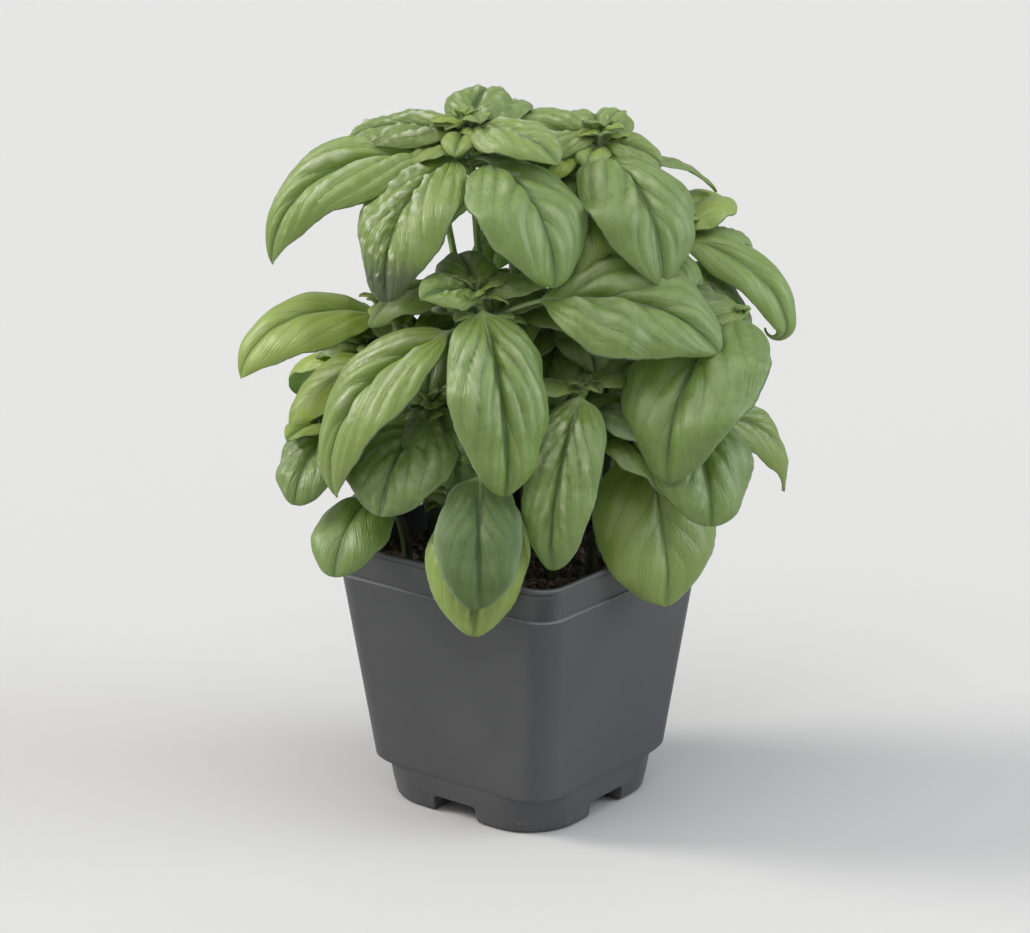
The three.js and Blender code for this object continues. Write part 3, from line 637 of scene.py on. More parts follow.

# Each leaf: height of its joint on the stem, direction (0 right, 90 away), stalk length, blade
# length, blade width, rise of the blade at its base, droop from base to tip, and roll.
# "leaves" and "inner" are in the solid part too. "fillers" are leaves that only this model has.
# "looks" says, by a leaf's number, how it differs: blunt (its ends, more or less full), crinkle (0
# smooth to 1 blistered), oneSided (blisters on one half only), curl (degrees that the tip hooks in),
# darkTip, fresh (1 young and bright, 2 yellow), hue (1 bright, -1 deep, -3 painted shade), long and wide
# (against the listed size), pillow (swelling between its veins), turn (degrees added to its direction).
# A stem may also say how large, how fresh and how many the leaves of its crown are, and how far
# below its crown the side shoots begin.
stems = {
    "top_left": {
        "foot": (-12, -6),
        "crown": (-21, -4, 280),
        "youngFresh": 1.15,
        "fillers": [
            ((275, -104, 2, 21, 17, 16, 74, 0), {"crinkle": 0.5, "fresh": 0.9}),
            ((270, -156, 4, 26, 20, 12, 74, 0), {"crinkle": 0.5, "fresh": 0.7}),
            ((264, -20, 6, 30, 24, 8, 80, 0), {"fresh": 0.2}),
            ((275, 126, 3, 28, 26, 4, 66, 0), {"fresh": 0.6}),
            ((263, 48, 3, 22, 24, 4, 70, 0), {"fresh": 0.2}),
            ((278, -70, 1, 15, 12, 22, 60, 0), {"crinkle": 0.6, "fresh": 1.3}),
            ((232, -20, 10, 40, 34, 0, 76, 0), {"fresh": 0.2, "hue": -1.6}),
            ((279, -170, 1, 16, 12, 26, 60, 0), {"crinkle": 0.6, "fresh": 1.3}),
        ],
        "leaves": [
            (279, 75, 3, 36, 28, 34, 60, 0),
            (277, -34, 3, 44, 32, 10, 55, 12),
            (276, 172, 5, 46, 26, 10, 42, -25),
            (275, 58, 6, 36, 28, 24, 50, 0),
            (262, -172, 16, 88, 38, 6, 98, -30),
            (262, 98, 14, 58, 44, 6, 82, 0),
            (269, -133, 12, 60, 45, -20, 88, 0),
            (267, -54, 17, 62, 48, -16, 80, 0),
        ],
        "inner": [
            (202, -60, 4, 34, 28, 20, 74, 0),
            (202, 130, 4, 34, 28, 20, 74, 0),
            (209, -160, 14, 40, 33, 10, 74, 0),
            (202, -20, 14, 40, 33, 10, 74, 0),
        ],
        "looks": {
            0: {"crinkle": 0.7, "fresh": 0.3},
            1: {"crinkle": 0.5, "fresh": 0.45},
            2: {"crinkle": 0.95, "fresh": 0.4},
            3: {"crinkle": 0.65, "fresh": 0.25},
            4: {"blunt": -0.8, "crinkle": 0.3, "fresh": 0.4, "hue": 1.0, "pillow": 1.3, "wide": 1.05},
            6: {
                "blunt": 0.5, "crinkle": 1.0, "darkTip": 0.8, "fresh": 0.4, "hue": 1.0,
                "long": 1.15, "oneSided": 1, "wide": 1.03,
            },
            7: {"blunt": 0.3, "crinkle": 0.05, "fresh": 0.1, "hue": 0.3, "pillow": 0.8, "wide": 1.1},
        },
    },
    "top_right": {
        "foot": (12, 6),
        "crown": (32, 6, 274),
        "youngFresh": 1.15,
        "fillers": [
            ((267, -152, 9, 32, 20, -12, 74, 0), {"fresh": 1.8}),
            ((204, -140, 8, 34, 28, 10, 80, 0), {"fresh": 0.3}),
            ((196, -70, 8, 30, 26, 0, 74, 0), {"fresh": 0.3}),
            ((196, -150, 6, 36, 32, -6, 74, 0), {"fresh": 0.2, "hue": -1.6}),
            ((256, -140, 12, 40, 34, -10, 74, 0), {"fresh": 0.2, "hue": -1.6}),
            ((269, -104, 2, 18, 16, 10, 70, 0), {"crinkle": 0.5, "fresh": 0.9}),
        ],
        "leaves": [
            (272, 96, 3, 36, 32, 23, 55, 0),
            (272, -174, 3, 43, 32, 16, 44, -28),
            (270, -4, 3, 25, 22, 2, 62, 22),
            (267, -60, 7, 67, 47, -14, 80, 0),
            (257, 30, 18, 46, 24, 0, 56, 5),
            (258, 84, 15, 58, 44, 4, 84, 0),
            (238, -140, 6, 38, 30, -6, 70, 0),
            (200, -72, 6, 27, 22, 0, 74, 0),
        ],
        "inner": [
            (244, -100, 7, 44, 38, 0, 74, 0),
            (255, -150, 5, 30, 24, 4, 60, 0),
            (190, -110, 7, 33, 28, -20, 74, 0),
            (258, 160, 14, 40, 33, 10, 74, 0),
            (250, 130, 8, 36, 30, 8, 80, 0),
        ],
        "looks": {
            0: {"fresh": 0.45},
            1: {"crinkle": 0.4, "fresh": 0.4},
            2: {"fresh": 0.55},
            3: {"crinkle": 0.1, "fresh": 0.12, "hue": 0.0, "pillow": 0.8, "wide": 1.06},
            4: {"wide": 0.55},
            6: {"fresh": 0.05},
        },
    },
    "front": {
        "foot": (-6, -26),
        "crown": (-17, -41, 221),
        "leaves": [
            (220, -146, 2, 26, 22, 24, 50, -30),
            (220, 14, 2, 28, 20, 22, 45, 10),
            (218, 108, 3, 34, 26, 36, 45, 0),
            (217, -74, 7, 78, 42, -40, 68, 0),
            (207, -168, 15, 82, 42, -24, 80, -22),
            (207, -4, 27, 74, 48, 8, 60, 36),
            (204, 55, 10, 38, 28, 24, 60, 0),
        ],
        "inner": [
            (180, 70, 6, 32, 28, -14, 74, 0),
        ],
        "looks": {
            0: {"crinkle": 0.8, "fresh": 0.35},
            1: {"crinkle": 0.7, "fresh": 0.2},
            3: {"blunt": 0.5, "crinkle": 0.15, "fresh": 0.2, "hue": 0.0, "long": 0.97, "pillow": 1.25},
            4: {"crinkle": 0.15, "fresh": 0.45, "hue": 1.0, "long": 1.04, "pillow": 1.35, "wide": 1.06},
            5: {"crinkle": 0.1, "fresh": 0.15, "hue": -0.1, "pillow": 0.8, "wide": 1.14},
        },
    },
    "front_right": {
        "foot": (13, -28),
        "crown": (25, -42, 184),
        "youngSize": 0.6,
        "youngFresh": 0.0,
        "fillers": [
            ((170, -6, 8, 42, 36, 2, 78, 0), {"fresh": 0.0, "hue": -3.0}),
            ((172, 172, 5, 26, 24, 2, 72, 0), {"fresh": 0.1, "hue": -1.6}),
        ],
        "leaves": [
            (182, -112, 5, 70, 37, -44, 56, 0),
            (183, 38, 3, 21, 19, 16, 45, 0),
            (181, 168, 3, 27, 22, 14, 50, 0),
            (160, -14, 12, 46, 34, -8, 70, 0),
        ],
        "inner": [
            (153, 120, 5, 38, 32, 20, 74, 0),
        ],
        "looks": {0: {"blunt": 1.2, "crinkle": 0.35, "fresh": 0.15, "hue": 0.0, "pillow": 1.2, "wide": 0.9}},
    },
    "low_left": {
        "foot": (-46, -5),
        "crown": (-79, -8, 160),
        "youngSize": 0.55,
        "leaves": [
            (159, -132, 2, 22, 18, 14, 50, 0),
            (158, 40, 2, 26, 20, 20, 50, 0),
            (157, -116, 3, 38, 28, -14, 72, 0),
            (128, -116, 14, 44, 34, -4, 80, 0),
            (138, 130, 8, 40, 28, 10, 70, 0),
        ],
        "inner": [],
        "looks": {
            0: {"fresh": 0.9},
            2: {"blunt": 1, "crinkle": 0.5, "fresh": 0.1, "hue": 0.0, "pillow": 0.8, "wide": 1.12},
            3: {"blunt": 1.2, "crinkle": 0.15, "fresh": 0.1, "hue": 0.6, "pillow": 0.2, "wide": 1.05},
        },
    },
    "right": {
        "foot": (34, 12),
        "crown": (60, 12, 235),
        "fillers": [
            ((222, -70, 6, 30, 26, 0, 74, 0), {"fresh": 0.2, "hue": -1.0}),
            ((190, -170, 8, 38, 32, 10, 74, 0), {"fresh": 0.2}),
            ((182, -130, 10, 36, 30, 6, 74, 0), {"fresh": 0.2}),
            ((213, -34, 8, 46, 36, 2, 76, 0), {"fresh": 0.0, "hue": -1.6}),
        ],
        "leaves": [
            (232, 50, 3, 40, 34, 34, 64, 0),
            (233, 165, 3, 26, 20, 18, 45, 0),
            (230, -16, 6, 68, 34, -8, 96, 28),
            (208, 80, 12, 46, 38, 4, 78, 0),
            (196, 30, 8, 34, 28, 0, 80, 0),
            (226, -88, 8, 34, 30, -4, 70, 0),
        ],
        "inner": [
            (226, 34, 10, 40, 33, 10, 74, 0),
            (181, 167, 7, 34, 28, 0, 74, 0),
            (146, -40, 7, 34, 28, -20, 74, 0),
            (230, 162, 4, 34, 28, 20, 74, 0),
            (214, 2, 6, 38, 32, 8, 88, 0),
        ],
        "looks": {
            0: {"blunt": 0.4, "crinkle": 0.0, "fresh": 1.2, "hue": 1.0, "pillow": 0.4, "wide": 1.06},
            2: {
                "blunt": -0.9, "crinkle": 0.1, "curl": 155, "fresh": 0.35, "hue": 0.4,
                "long": 1.07, "pillow": 0.5, "wide": 0.74,
            },
        },
    },
    "front_far_right": {
        "foot": (36, -12),
        "crown": (90, -12, 208),
        "bareBelow": 16,
        "youngLeaves": 2,
        "youngSize": 0.55,
        "leaves": [
            (206, 168, 2, 28, 25, 26, 62, 0),
            (206, -150, 2, 20, 17, 8, 60, 0),
            (205, -122, 7, 84, 58, -12, 86, 0),
            (170, -72, 14, 58, 46, -14, 76, 0),
            (160, 22, 24, 60, 28, -10, 90, 40),
            (184, 176, 8, 33, 28, 0, 74, 0),
        ],
        "inner": [
            (174, -120, 7, 34, 28, 0, 74, 0),
            (167, 178, 4, 36, 30, 20, 74, 0),
            (202, 150, 4, 34, 28, 20, 74, 0),
        ],
        "looks": {
            2: {"crinkle": 0.05, "fresh": 0.15, "hue": -0.8, "pillow": 0.45, "wide": 1.04},
            3: {"blunt": 1, "fresh": 0.15, "pillow": 0.6},
            4: {"fresh": 0.5},
        },
    },
    "left": {
        "foot": (-28, 5),
        "crown": (-54, 2, 206),
        "leaves": [
            (205, 75, 3, 30, 22, 16, 50, 0),
            (204, -70, 2, 20, 15, 14, 50, 0),
            (198, -164, 9, 68, 38, 14, 92, -25),
            (194, 112, 12, 54, 42, 4, 78, 0),
            (178, 178, 12, 53, 43, -6, 74, -10),
        ],
        "inner": [
            (188, 80, 4, 46, 38, 20, 74, 0),
            (118, 160, 14, 40, 33, 10, 74, 0),
        ],
        "looks": {
            0: {"fresh": 1.2},
            1: {"fresh": 1.4},
            2: {"crinkle": 0.05, "fresh": 1.15, "hue": 1.0, "pillow": 0.3},
            4: {"crinkle": 0.05, "fresh": 1.8, "pillow": 0.5, "wide": 1.08},
        },
    },
    "low_right": {
        "foot": (28, -22),
        "crown": (52, -24, 158),
        "leaves": [
            (157, 30, 3, 30, 22, 10, 55, 0),
            (156, 158, 3, 28, 20, 10, 55, 0),
            (155, -73, 5, 62, 54, -52, 44, 0),
        ],
        "inner": [],
        "looks": {2: {"blunt": 0.8, "crinkle": 0.05, "fresh": 0.4, "pillow": 0.3, "wide": 1.06}},
    },
    "low_front": {
        "foot": (-12, -38),
        "crown": (-15, -50, 156),
        "leaves": [
            (155, -100, 10, 53, 32, -38, 50, 0),
            (146, -106, 5, 58, 42, -46, 42, 0),
            (152, 20, 3, 24, 18, 10, 50, 0),
        ],
        "inner": [],
        "looks": {
            0: {
                "blunt": 1.6, "crinkle": 0.15, "fresh": 0.05, "hue": -3.0, "pillow": 0.5,
                "turn": 6, "wide": 1.1,
            },
            1: {
                "blunt": 0.6, "crinkle": 0.4, "fresh": 0.8, "hue": 0.6, "pillow": 0.6,
                "turn": 6, "wide": 1.04,
            },
        },
    },
    "low_front_left": {
        "foot": (-26, -20),
        "crown": (-35, -24, 172),
        "leaves": [
            (171, -72, 3, 40, 34, -16, 66, 0),
            (164, -126, 9, 46, 40, -12, 72, 0),
            (165, 70, 3, 24, 20, 0, 70, 0),
        ],
        "inner": [
            (160, 160, 4, 34, 28, 20, 74, 0),
            (132, 120, 4, 30, 25, 20, 74, 0),
        ],
        "looks": {
            0: {"blunt": 1, "fresh": 0.1, "pillow": 0.7, "wide": 1.1},
            1: {
                "blunt": 1, "crinkle": 0.3, "fresh": 0.1, "hue": -1.2, "long": 1.01,
                "pillow": 0.8, "turn": 6, "wide": 1.22,
            },
        },
    },
    "back_left": {
        "foot": (-16, 20),
        "crown": (-32, 36, 244),
        "leaves": [
            (243, 160, 3, 34, 24, 16, 50, 0),
            (242, -10, 3, 30, 22, 16, 50, 0),
            (238, 105, 12, 66, 50, 2, 90, 0),
            (234, 122, 12, 52, 42, 4, 88, 0),
            (206, 66, 12, 60, 46, -4, 84, 0),
            (192, -106, 14, 44, 26, 0, 80, 0),
        ],
        "inner": [
            (139, 140, 14, 46, 38, 10, 74, 0),
            (202, 100, 14, 34, 28, -12, 74, 0),
            (195, 40, 14, 34, 28, -12, 74, 0),
        ],
        "looks": {},
    },
    "back_right": {
        "foot": (14, 28),
        "crown": (22, 40, 234),
        "leaves": [
            (233, 80, 3, 34, 24, 14, 50, 0),
            (232, -100, 3, 29, 20, 16, 50, 0),
            (228, 18, 12, 49, 42, 4, 88, 0),
            (226, 128, 12, 58, 46, 0, 88, 0),
            (196, 60, 12, 52, 44, -2, 84, 0),
            (186, -130, 12, 34, 26, 0, 80, 0),
            (202, -60, 10, 34, 22, 4, 78, 0),
        ],
        "inner": [
            (181, 60, 14, 34, 28, -12, 74, 0),
            (153, 80, 7, 34, 28, -20, 74, 0),
            (220, 56, 8, 42, 36, 8, 80, 0),
        ],
        "looks": {},
    },
    "far_right": {
        "foot": (38, 22),
        "crown": (58, 24, 180),
        "leaves": [
            (179, 160, 5, 36, 30, 4, 76, 0),
            (178, -60, 3, 30, 22, 12, 50, 0),
            (174, 50, 8, 35, 30, 4, 86, 0),
            (152, 104, 10, 46, 40, 0, 84, 0),
        ],
        "inner": [
            (153, 100, 7, 44, 36, -20, 74, 0),
            (125, 80, 12, 40, 34, -12, 74, 0),
            (167, 178, 7, 32, 26, 0, 74, 0),
        ],
        "looks": {},
    },
    "far_left": {
        "foot": (-36, 20),
        "crown": (-64, 30, 182),
        "fillers": [
            ((134, -60, 8, 34, 28, 0, 70, 0), {"fresh": 0.2}),
        ],
        "leaves": [
            (181, 60, 3, 30, 22, 14, 50, 0),
            (179, 172, 2, 22, 18, 12, 50, 0),
            (172, 142, 8, 48, 38, 4, 88, 0),
            (156, -176, 8, 38, 32, 0, 84, 0),
            (150, 84, 10, 46, 40, 0, 84, 0),
            (146, -100, 8, 31, 26, 0, 80, 0),
        ],
        "inner": [
            (160, 36, 7, 34, 28, 0, 74, 0),
        ],
        "looks": {2: {"fresh": 2.0, "hue": 1.0}, 3: {"fresh": 2.0, "hue": 1.0}},
    },
    "low_back": {
        "foot": (2, 44),
        "crown": (0, 54, 172),
        "leaves": [
            (171, -12, 5, 42, 32, 2, 70, 0),
            (170, 170, 3, 29, 20, 12, 50, 0),
            (166, 52, 8, 44, 40, 0, 88, 0),
            (164, 132, 10, 50, 42, 0, 88, 0),
            (144, -96, 10, 36, 26, 0, 80, 0),
        ],
        "inner": [
            (125, -178, 14, 46, 38, 10, 74, 0),
            (125, 130, 7, 34, 28, 0, 74, 0),
        ],
        "looks": {},
    },
}


def makeDraw(seed):
    # the same draws between -1 and 1 as the leaves of the solid part are made with
    state = seed

    def draw():
        nonlocal state
        state = (state * 1664525 + 1013904223) % 4294967296
        return state / 2147483648 - 1

    return draw


def stemPoints(stem, z):
    # a stem's middle line at these heights: upright in the soil, then leaning out to its crown
    z = np.asarray(z, dtype=float)
    climb = np.maximum(0, (z - soilTop) / (stem["crown"][2] - soilTop))
    x = stem["foot"][0] + (stem["crown"][0] - stem["foot"][0]) * climb ** 2
    y = stem["foot"][1] + (stem["crown"][1] - stem["foot"][1]) * climb ** 2
    return np.stack((x, y, z), axis=-1)


def leafLie(leaf, sway, distance, curl=0.0):
    # which ways are ahead, to the side and up for a leaf, at distances along it from the stem
    toward, stalk, long = leaf[1:4]
    rise, droop, roll = leaf[5:]
    reach = np.maximum(0, (distance - stalk) / long)
    stalkLeft = np.maximum(0, 1 - distance / stalk)
    hook = curl * np.clip(reach / 0.2 - 4, 0, 1)
    pitch = np.radians(rise + plant["stalkLift"] * stalkLeft - droop * reach ** 1.5 - hook)
    heading = np.radians(toward + sway * reach)
    turn = np.radians(roll * np.minimum(1, distance / (stalk + 0.25 * long)))[:, None]
    level = np.cos(pitch)
    ahead = np.stack((level * np.cos(heading), level * np.sin(heading), np.sin(pitch)), axis=1)
    aside = np.stack((-np.sin(heading), np.cos(heading), 0 * heading), axis=1)
    above = np.cross(ahead, aside)
    return ahead, aside * np.cos(turn) + above * np.sin(turn), above * np.cos(turn) - aside * np.sin(turn)


def leafMiddle(stem, leaf, sway, distances, curl=0.0):
    # the points of a leaf's middle line at distances along it from the stem
    length = leaf[2] + leaf[3]
    steps = 160
    ahead, side, up = leafLie(leaf, sway, length * (np.arange(steps) + 0.5) / steps, curl)
    walked = np.concatenate((stemPoints(stem, [leaf[0]]), ahead * length / steps)).cumsum(axis=0)
    at = np.linspace(0, length, steps + 1)
    return np.stack([np.interp(distances, at, walked[:, axis]) for axis in range(3)], axis=1)


def bladeShape(place, blunt):
    # share of its full width that a blade has at a place between its base, 0, and its tip, 1
    return np.sin(math.pi * place ** (0.8 + 0.06 * blunt)) ** (0.6 - 0.14 * blunt) * (1 - 0.1 * place ** 6)


def veinCount(place, across, seed):
    # counts up along a blade by one from each side vein to the next, a little unevenly
    out, sign = np.abs(across), np.sign(across)
    uneven = 0.035 * np.sin(2 * math.pi * 1.7 * place + seed + 3 * sign) + 0.02 * np.sin(7 * out + 1.7 * seed)
    along = place + uneven - plant["veinLean"] * out ** plant["veinArch"]
    return along * plant["veins"] + 0.14 * sign + 0.35


def leafRelief(place, across, half, leaf, look, crinkle, seed):
    # how far a blade stands off its plain bowl: swellings between its side veins, blisters on them
    # where it is crinkled, and the dip along its midrib; also the count of its veins at each point
    # and where the point lies between a crease, -1, and a crest, 1, for its painted shade and highlight
    long, wide = leaf[3:5]
    out = np.abs(across)
    fromMidrib = out * half
    vein = veinCount(place, across, seed)
    between = vein - np.floor(vein)
    opened = np.minimum(1, place * 6)
    ridge = 1 - np.abs(2 * between - 1) ** 2.2
    quilt = 1 - 0.3 * crinkle * (1 + np.sin(2 * math.pi * 3.2 * out + 2.1 * np.floor(vein) + seed))
    fade = opened * np.minimum(1, fromMidrib / 4) * (1 - out ** 2.6) * np.minimum(1, 1.6 * (1 - place))
    pillow = look.get("pillow", 1.0)
    relief = pillow * plant["pillow"] * wide * ridge * quilt * fade
    along, aside = long * place + 0 * out, across * half
    relief += plant["swell"] * ripples(along, aside, int(seed * 1000) + 1, *plant["swellSpan"], 4) * opened
    blister = ripples(along, aside, int(seed * 1000), *plant["blisterSpan"], 12)
    blister = np.maximum(blister, -0.3) * (0.35 + 0.65 * ridge)
    blister *= np.clip(1 - 1.5 * look.get("oneSided", 0) * across, 0, 1)
    blister *= crinkle * opened * (1 - out ** 2) * np.minimum(1, fromMidrib / 3) * (1 - 0.4 * place)
    relief += plant["blister"] * blister
    midribNear = min(1.0, 0.3 + 0.7 * pillow) * np.exp(-(fromMidrib / 1.7) ** 2)
    relief -= plant["midribDip"] * opened * (1 - 0.6 * place) * midribNear
    strength = min(1.3, 0.3 + 0.7 * pillow) * (0.62 + 0.38 * np.sin(2.4 * np.floor(vein) + 3 * seed))
    patchy = 0.75 + 0.6 * ripples(along, aside, int(seed * 1000) + 2, *plant["patchSpan"], 6)
    crest = strength * patchy * fade * (1 - 0.7 * out) * (2 * ridge - 1)
    crest += 1.1 * blister - 0.5 * midribNear * opened
    return relief, vein, np.clip(crest, -1, 1)


def leafGrid(stalk, long, wide, fineness):
    # how far from the stem each row of a leaf's points lies, and how far across the blade each
    # column, from one rim, -1, to the other, 1
    bladeRows = int(np.clip(round(long * plant["rowsPerMm"] * fineness), *plant["rowLimits"]))
    halfColumns = int(np.clip(round(wide / 2 * plant["columnsPerMm"] * fineness), *plant["columnLimits"]))
    stalkRows = max(2, round(stalk / 1.6))
    even = np.linspace(0.0, 1.0, bladeRows + 1)[1:-1]
    places = np.concatenate(([0.006], 0.7 * even + 0.15 * (1 - np.cos(math.pi * even)), [0.994]))
    stalkDistances = np.linspace(min(1.0, stalk * 0.4), stalk, stalkRows, endpoint=False)
    distances = np.concatenate((stalkDistances, stalk + long * places))
    columns = np.linspace(0, 1, halfColumns)
    columns = np.concatenate((0.96 * (0.6 * columns + 0.4 * columns ** 2), [1.0]))
    return distances, np.concatenate((-columns[:0:-1], columns))[None, :]


def sheetFaces(rows, columns):
    # faces of an upper and a lower grid of points that share their rims. The lower one's own points
    # follow the upper one's, then come the root and the tip, and each grid ends there in a fan.
    count = rows * columns
    upper = np.arange(count).reshape(rows, columns)
    lower = upper.copy()
    lower[:, 1:-1] = count + np.arange(rows * (columns - 2)).reshape(rows, -1)
    root = count + rows * (columns - 2)
    faces = []
    for index, flip in ((upper, False), (lower, True)):
        a, b, c, d = index[:-1, :-1], index[1:, :-1], index[1:, 1:], index[:-1, 1:]
        faces += np.stack((a, d, c, b) if flip else (a, b, c, d), axis=-1).reshape(-1, 4).tolist()
        rootFan = np.stack((np.full(columns - 1, root), index[0, :-1], index[0, 1:]), axis=1)
        tipFan = np.stack((np.full(columns - 1, root + 1), index[-1, 1:], index[-1, :-1]), axis=1)
        for fan in (rootFan, tipFan):
            faces += (fan[:, ::-1] if flip else fan).tolist()
    return faces


def leafSheet(stem, leaf, draw, fineDraw, look, fineness=1.0):
    # A leaf as one closed sheet. It has the lie, outline and bowl of the solid part's leaf, from the
    # same draws, and adds its relief, a raised rib underneath and a finely uneven edge. It comes as
    # points, faces and, for each point, what the materials read.
    joint, toward, stalk, long, wide = leaf[:5]
    long, wide = long * look.get("long", 1.0), wide * look.get("wide", 1.0)
    leaf = (joint, toward + look.get("turn", 0), stalk, long, wide) + leaf[5:]
    curl = look.get("curl", 0.0)
    sway = plant["sway"] * draw()
    fold = math.radians(plant["fold"][0] + plant["fold"][1] * draw())
    cup = math.radians(plant["cup"][0] + plant["cup"][1] * draw())
    wave = plant["waveHeight"] * wide * (1 + 0.4 * draw())
    phase = math.pi * draw()
    crinkle = look.get("crinkle", 0.15 + 0.2 * fineDraw.random())
    youth = min(1.0, max(0.0, (40 - long) / 30))
    fresh = look.get("fresh", 0.05 + 0.2 * fineDraw.random() + 0.35 * youth)
    hue = look.get("hue", fineDraw.uniform(-1, 1))
    seed = fineDraw.uniform(0, 40)

    distances, across = leafGrid(stalk, long, wide, fineness * (1 + 0.7 * crinkle))
    place = ((distances - stalk) / long)[:, None]
    onBlade = np.clip(place, 0, 1)
    out, sign = np.abs(across), np.sign(across)

    stalkHalf = plant["stalkHalf"] * np.clip(1 - 5 * onBlade, 0.1, 1)
    half = np.maximum(stalkHalf, plant["fuller"] * wide / 2 * bladeShape(onBlade, look.get("blunt", 0)))
    teeth = np.sin(2 * math.pi * plant["teeth"] * onBlade + seed) * np.clip(3 * onBlade - 0.8, 0, 1)
    half = half * (1 + 0.006 * teeth * out ** 6 + 0.02 * np.sin(7 * onBlade + seed) * sign * out)
    opened = np.minimum(1, onBlade * 6)
    bend = (fold + cup) * opened + 0.001
    start = fold * opened
    slope = start - bend * out
    lateral = half * (np.sin(start) - np.sin(slope)) / bend
    raised = half * (np.cos(slope) - np.cos(start)) / bend
    raised = raised + wave * opened * out ** 2 * np.sin(2 * math.pi * plant["waves"] * onBlade + phase * sign)
    raised = raised + 0.005 * wide * opened * out ** 4 * np.sin(2 * math.pi * 6.3 * onBlade + seed + 2 * sign)
    relief, vein, crest = leafRelief(onBlade, across, half, leaf, look, crinkle, seed)
    toVein = np.abs(vein - np.round(vein)) / plant["veins"] * long

    heavy = np.maximum(0, 1 - 5 * onBlade)
    rounded = heavy * np.sqrt(np.maximum(0, 1 - out ** 2))
    rounded = rounded + (1 - heavy) * np.sqrt(np.maximum(0, 1 - out ** 12))
    thick = (plant["bladeThick"] + (plant["stalkThick"] - plant["bladeThick"]) * heavy) * rounded
    rib = plant["midribRib"] * opened * (1 - 0.75 * onBlade) * np.exp(-(out * half / 0.9) ** 2)
    veinRib = plant["veinRib"] * opened * np.exp(-(toVein / 0.7) ** 2)
    rib = rib + veinRib * (1 - out) * np.minimum(1, out * half / 2)

    middle = leafMiddle(stem, leaf, sway, distances, curl)[:, None, :]
    side, up = (part[:, None, :] for part in leafLie(leaf, sway, distances, curl)[1:])

    def face(depth):
        off = depth + relief
        sideways = sign * (lateral - off * np.sin(slope))
        upward = raised + off * np.cos(slope)
        return middle + side * sideways[..., None] + up * upward[..., None]

    ends = leafMiddle(stem, leaf, sway, np.array([0.0, stalk + long]), curl)
    points = np.concatenate((face(thick).reshape(-1, 3), face(-thick - rib)[:, 1:-1].reshape(-1, 3), ends))

    def stored(first, second, third, endValues):
        # three values for each point of both grids and for the root and the tip
        upper = np.stack([np.broadcast_to(value, half.shape) for value in (first, second, third)], axis=-1)
        return [upper.reshape(-1, 3), upper[:, 1:-1].reshape(-1, 3), endValues]

    places = stored(place, across, np.where(out > 0.999, 0.0, 1.0), [(-stalk / long, 0, 1), (1, 0, 1)])
    places[1] = places[1] * (1, 1, -1)
    sizes = stored(half, long, seed, [(1.0, long, seed)] * 2)
    veins = stored(vein, crest, look.get("darkTip", 0.0), [(0.5, 0, 0)] * 2)
    kinds = np.tile((hue, fresh, crinkle), (len(points), 1))
    values = (np.concatenate(places), np.concatenate(sizes), kinds, np.concatenate(veins))
    return points, sheetFaces(*half.shape), values


def stemTube(stem):
    # a square stem with grooved sides, a little swollen where its leaves join it
    top, under = stem["crown"][2], soilTop - plant["stemDepth"]
    heights = np.linspace(under, top, int((top - under) / plant["stemRow"]))
    climb = np.maximum(0, (heights - soilTop) / (top - soilTop))
    radius = plant["stemFootRadius"] + (plant["stemTopRadius"] - plant["stemFootRadius"]) * climb
    for leaf in stem["leaves"]:
        radius = radius + plant["jointSwell"] * np.exp(-((heights - leaf[0]) / 1.8) ** 2)
    turns = np.arange(plant["stemSides"]) * 2 * math.pi / plant["stemSides"]
    section = 1 + 0.07 * np.cos(4 * turns) - 0.05 * np.maximum(0, np.cos(4 * turns + math.pi)) ** 4
    ring = roundPoints(plant["stemSides"], section)
    return loft([ring * size + centre for centre, size in zip(stemPoints(stem, heights), radius)])


